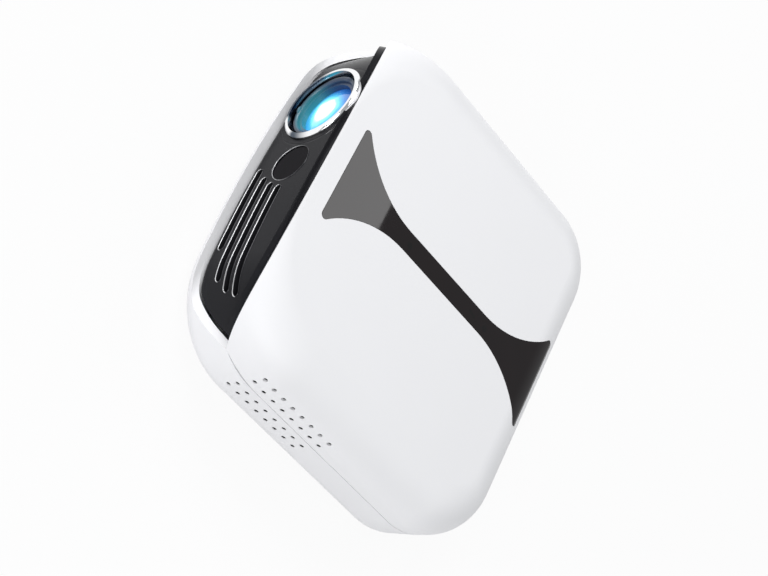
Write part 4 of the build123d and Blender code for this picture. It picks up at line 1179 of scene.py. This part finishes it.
class PROJECTOR_OT_contacts(bpy.types.Operator):
    """Lay the contacts on the tongues of the two flat sockets"""

    bl_idname = "projector.contacts"
    bl_label = "Contacts"

    def execute(self, context):
        rows = [leaf for row in LEAF_ROWS for leaf in leaves(*row)]
        whole = merge("socket_contacts", rows)
        piece("socket_contacts", whole, "casing", "socket_steel", "contact_gold")
        return {"FINISHED"}


class PROJECTOR_OT_screws(bpy.types.Operator):
    """Put domed faces with a cross recess on the screw heads"""

    bl_idname = "projector.screws"
    bl_label = "Screw faces"

    def execute(self, context):
        for node, up in SCREW_SIDES.items():
            level = box_mm(node)[0 if up < 0 else 1][2]
            faces = [
                screw_face("face", (x, y, level), up, SCREW_FACE_RADIUS, SCREW_FACE_RISE)
                for x, y in head_points(node, up)
            ]
            piece(node + "_faces", merge(node + "_faces", faces), "casing", "screw_steel")
        return {"FINISHED"}


class PROJECTOR_OT_thread(bpy.types.Operator):
    """Cut the thread in the tripod nut"""

    bl_idname = "projector.thread"
    bl_label = "Nut thread"

    def execute(self, context):
        sleeve = thread(*box_mm("tripod_nut"), context.scene.projector.thread_pitch)
        piece("nut_thread", sleeve, "casing", "nut_brass", angle=60)
        return {"FINISHED"}


class PROJECTOR_OT_stage(bpy.types.Operator):
    """Set the floor, the lamps, the world and the camera"""

    bl_idname = "projector.stage"
    bl_label = "Stage"

    def execute(self, context):
        scene = context.scene
        scene.view_settings.view_transform = "Standard"
        self.lay_floor(scene)
        self.hang_lamps(scene)
        self.set_camera(scene)
        return {"FINISHED"}

    def lay_floor(self, scene):
        ends = (-FLOOR_REACH, FLOOR_REACH)
        near, far = ([(x, y, 0) for x in ends] for y in ends)
        mesh = sheet_mesh("floor", np.array([far, near], float))
        floor = bpy.data.objects.new("floor", mesh)
        scene.collection.objects.link(floor)
        paint = Paint("stage_floor")
        stage_floor(paint)
        mesh.materials.append(paint.material)

    def hang_lamps(self, scene):
        look = scene.projector
        world = bpy.data.worlds.new("studio")
        world.use_nodes = True
        sky = world.node_tree.nodes["Background"].inputs
        sky[0].default_value = SKY_COLOUR
        sky[1].default_value = look.sky
        scene.world = world
        for name, place, aim, size, power in LAMPS:
            lamp = bpy.data.lights.new(name, "AREA")
            lamp.shape = "RECTANGLE"
            lamp.size, lamp.size_y = size[0] * MM, size[1] * MM
            lamp.energy = look.lamp_power * power
            obj = bpy.data.objects.new(name, lamp)
            obj.location = Vector(place) * MM
            ahead = Vector(aim) * MM - obj.location
            obj.rotation_euler = ahead.to_track_quat("-Z", "Y").to_euler()
            scene.collection.objects.link(obj)

    def set_camera(self, scene):
        ahead = (AIM - EYE).normalized()
        level = ahead.cross(Vector((0, 0, 1))).normalized()
        steep = level.cross(ahead)
        up = steep * cos(ROLL) + level * sin(ROLL)
        right = ahead.cross(up)
        camera = bpy.data.cameras.new("camera")
        camera.sensor_width = SENSOR_WIDTH
        camera.lens = FOCAL_LENGTH
        camera.clip_start = 10 * MM
        obj = bpy.data.objects.new("camera", camera)
        turn = Matrix((right, up, -ahead)).transposed().to_4x4()
        obj.matrix_world = Matrix.Translation(EYE) @ turn
        scene.collection.objects.link(obj)
        scene.camera = obj


class PROJECTOR_PT_panel(bpy.types.Panel):
    """Lists the steps and the settings in the sidebar."""

    bl_idname = "PROJECTOR_PT_panel"
    bl_label = "Projector"
    bl_space_type = "VIEW_3D"
    bl_region_type = "UI"
    bl_category = "Projector"

    def draw(self, context):
        for key in ProjectorLook.__annotations__:
            self.layout.prop(context.scene.projector, key)
        for step in STEPS:
            self.layout.operator(step.bl_idname)


STEPS = (
    PROJECTOR_OT_stage,
    PROJECTOR_OT_finishes,
    PROJECTOR_OT_trim,
    PROJECTOR_OT_focus,
    PROJECTOR_OT_rims,
    PROJECTOR_OT_lining,
    PROJECTOR_OT_cone,
    PROJECTOR_OT_contacts,
    PROJECTOR_OT_screws,
    PROJECTOR_OT_thread,
)
CLASSES = (ProjectorLook, *STEPS, PROJECTOR_PT_panel)


def register():
    for cls in CLASSES:
        bpy.utils.register_class(cls)
    bpy.types.Scene.projector = PointerProperty(type=ProjectorLook)


def unregister():
    del bpy.types.Scene.projector
    for cls in reversed(CLASSES):
        bpy.utils.unregister_class(cls)


def main():
    register()
    for step in STEPS:
        group, name = step.bl_idname.split(".")
        getattr(getattr(bpy.ops, group), name)()


if __name__ == "__main__":
    main()
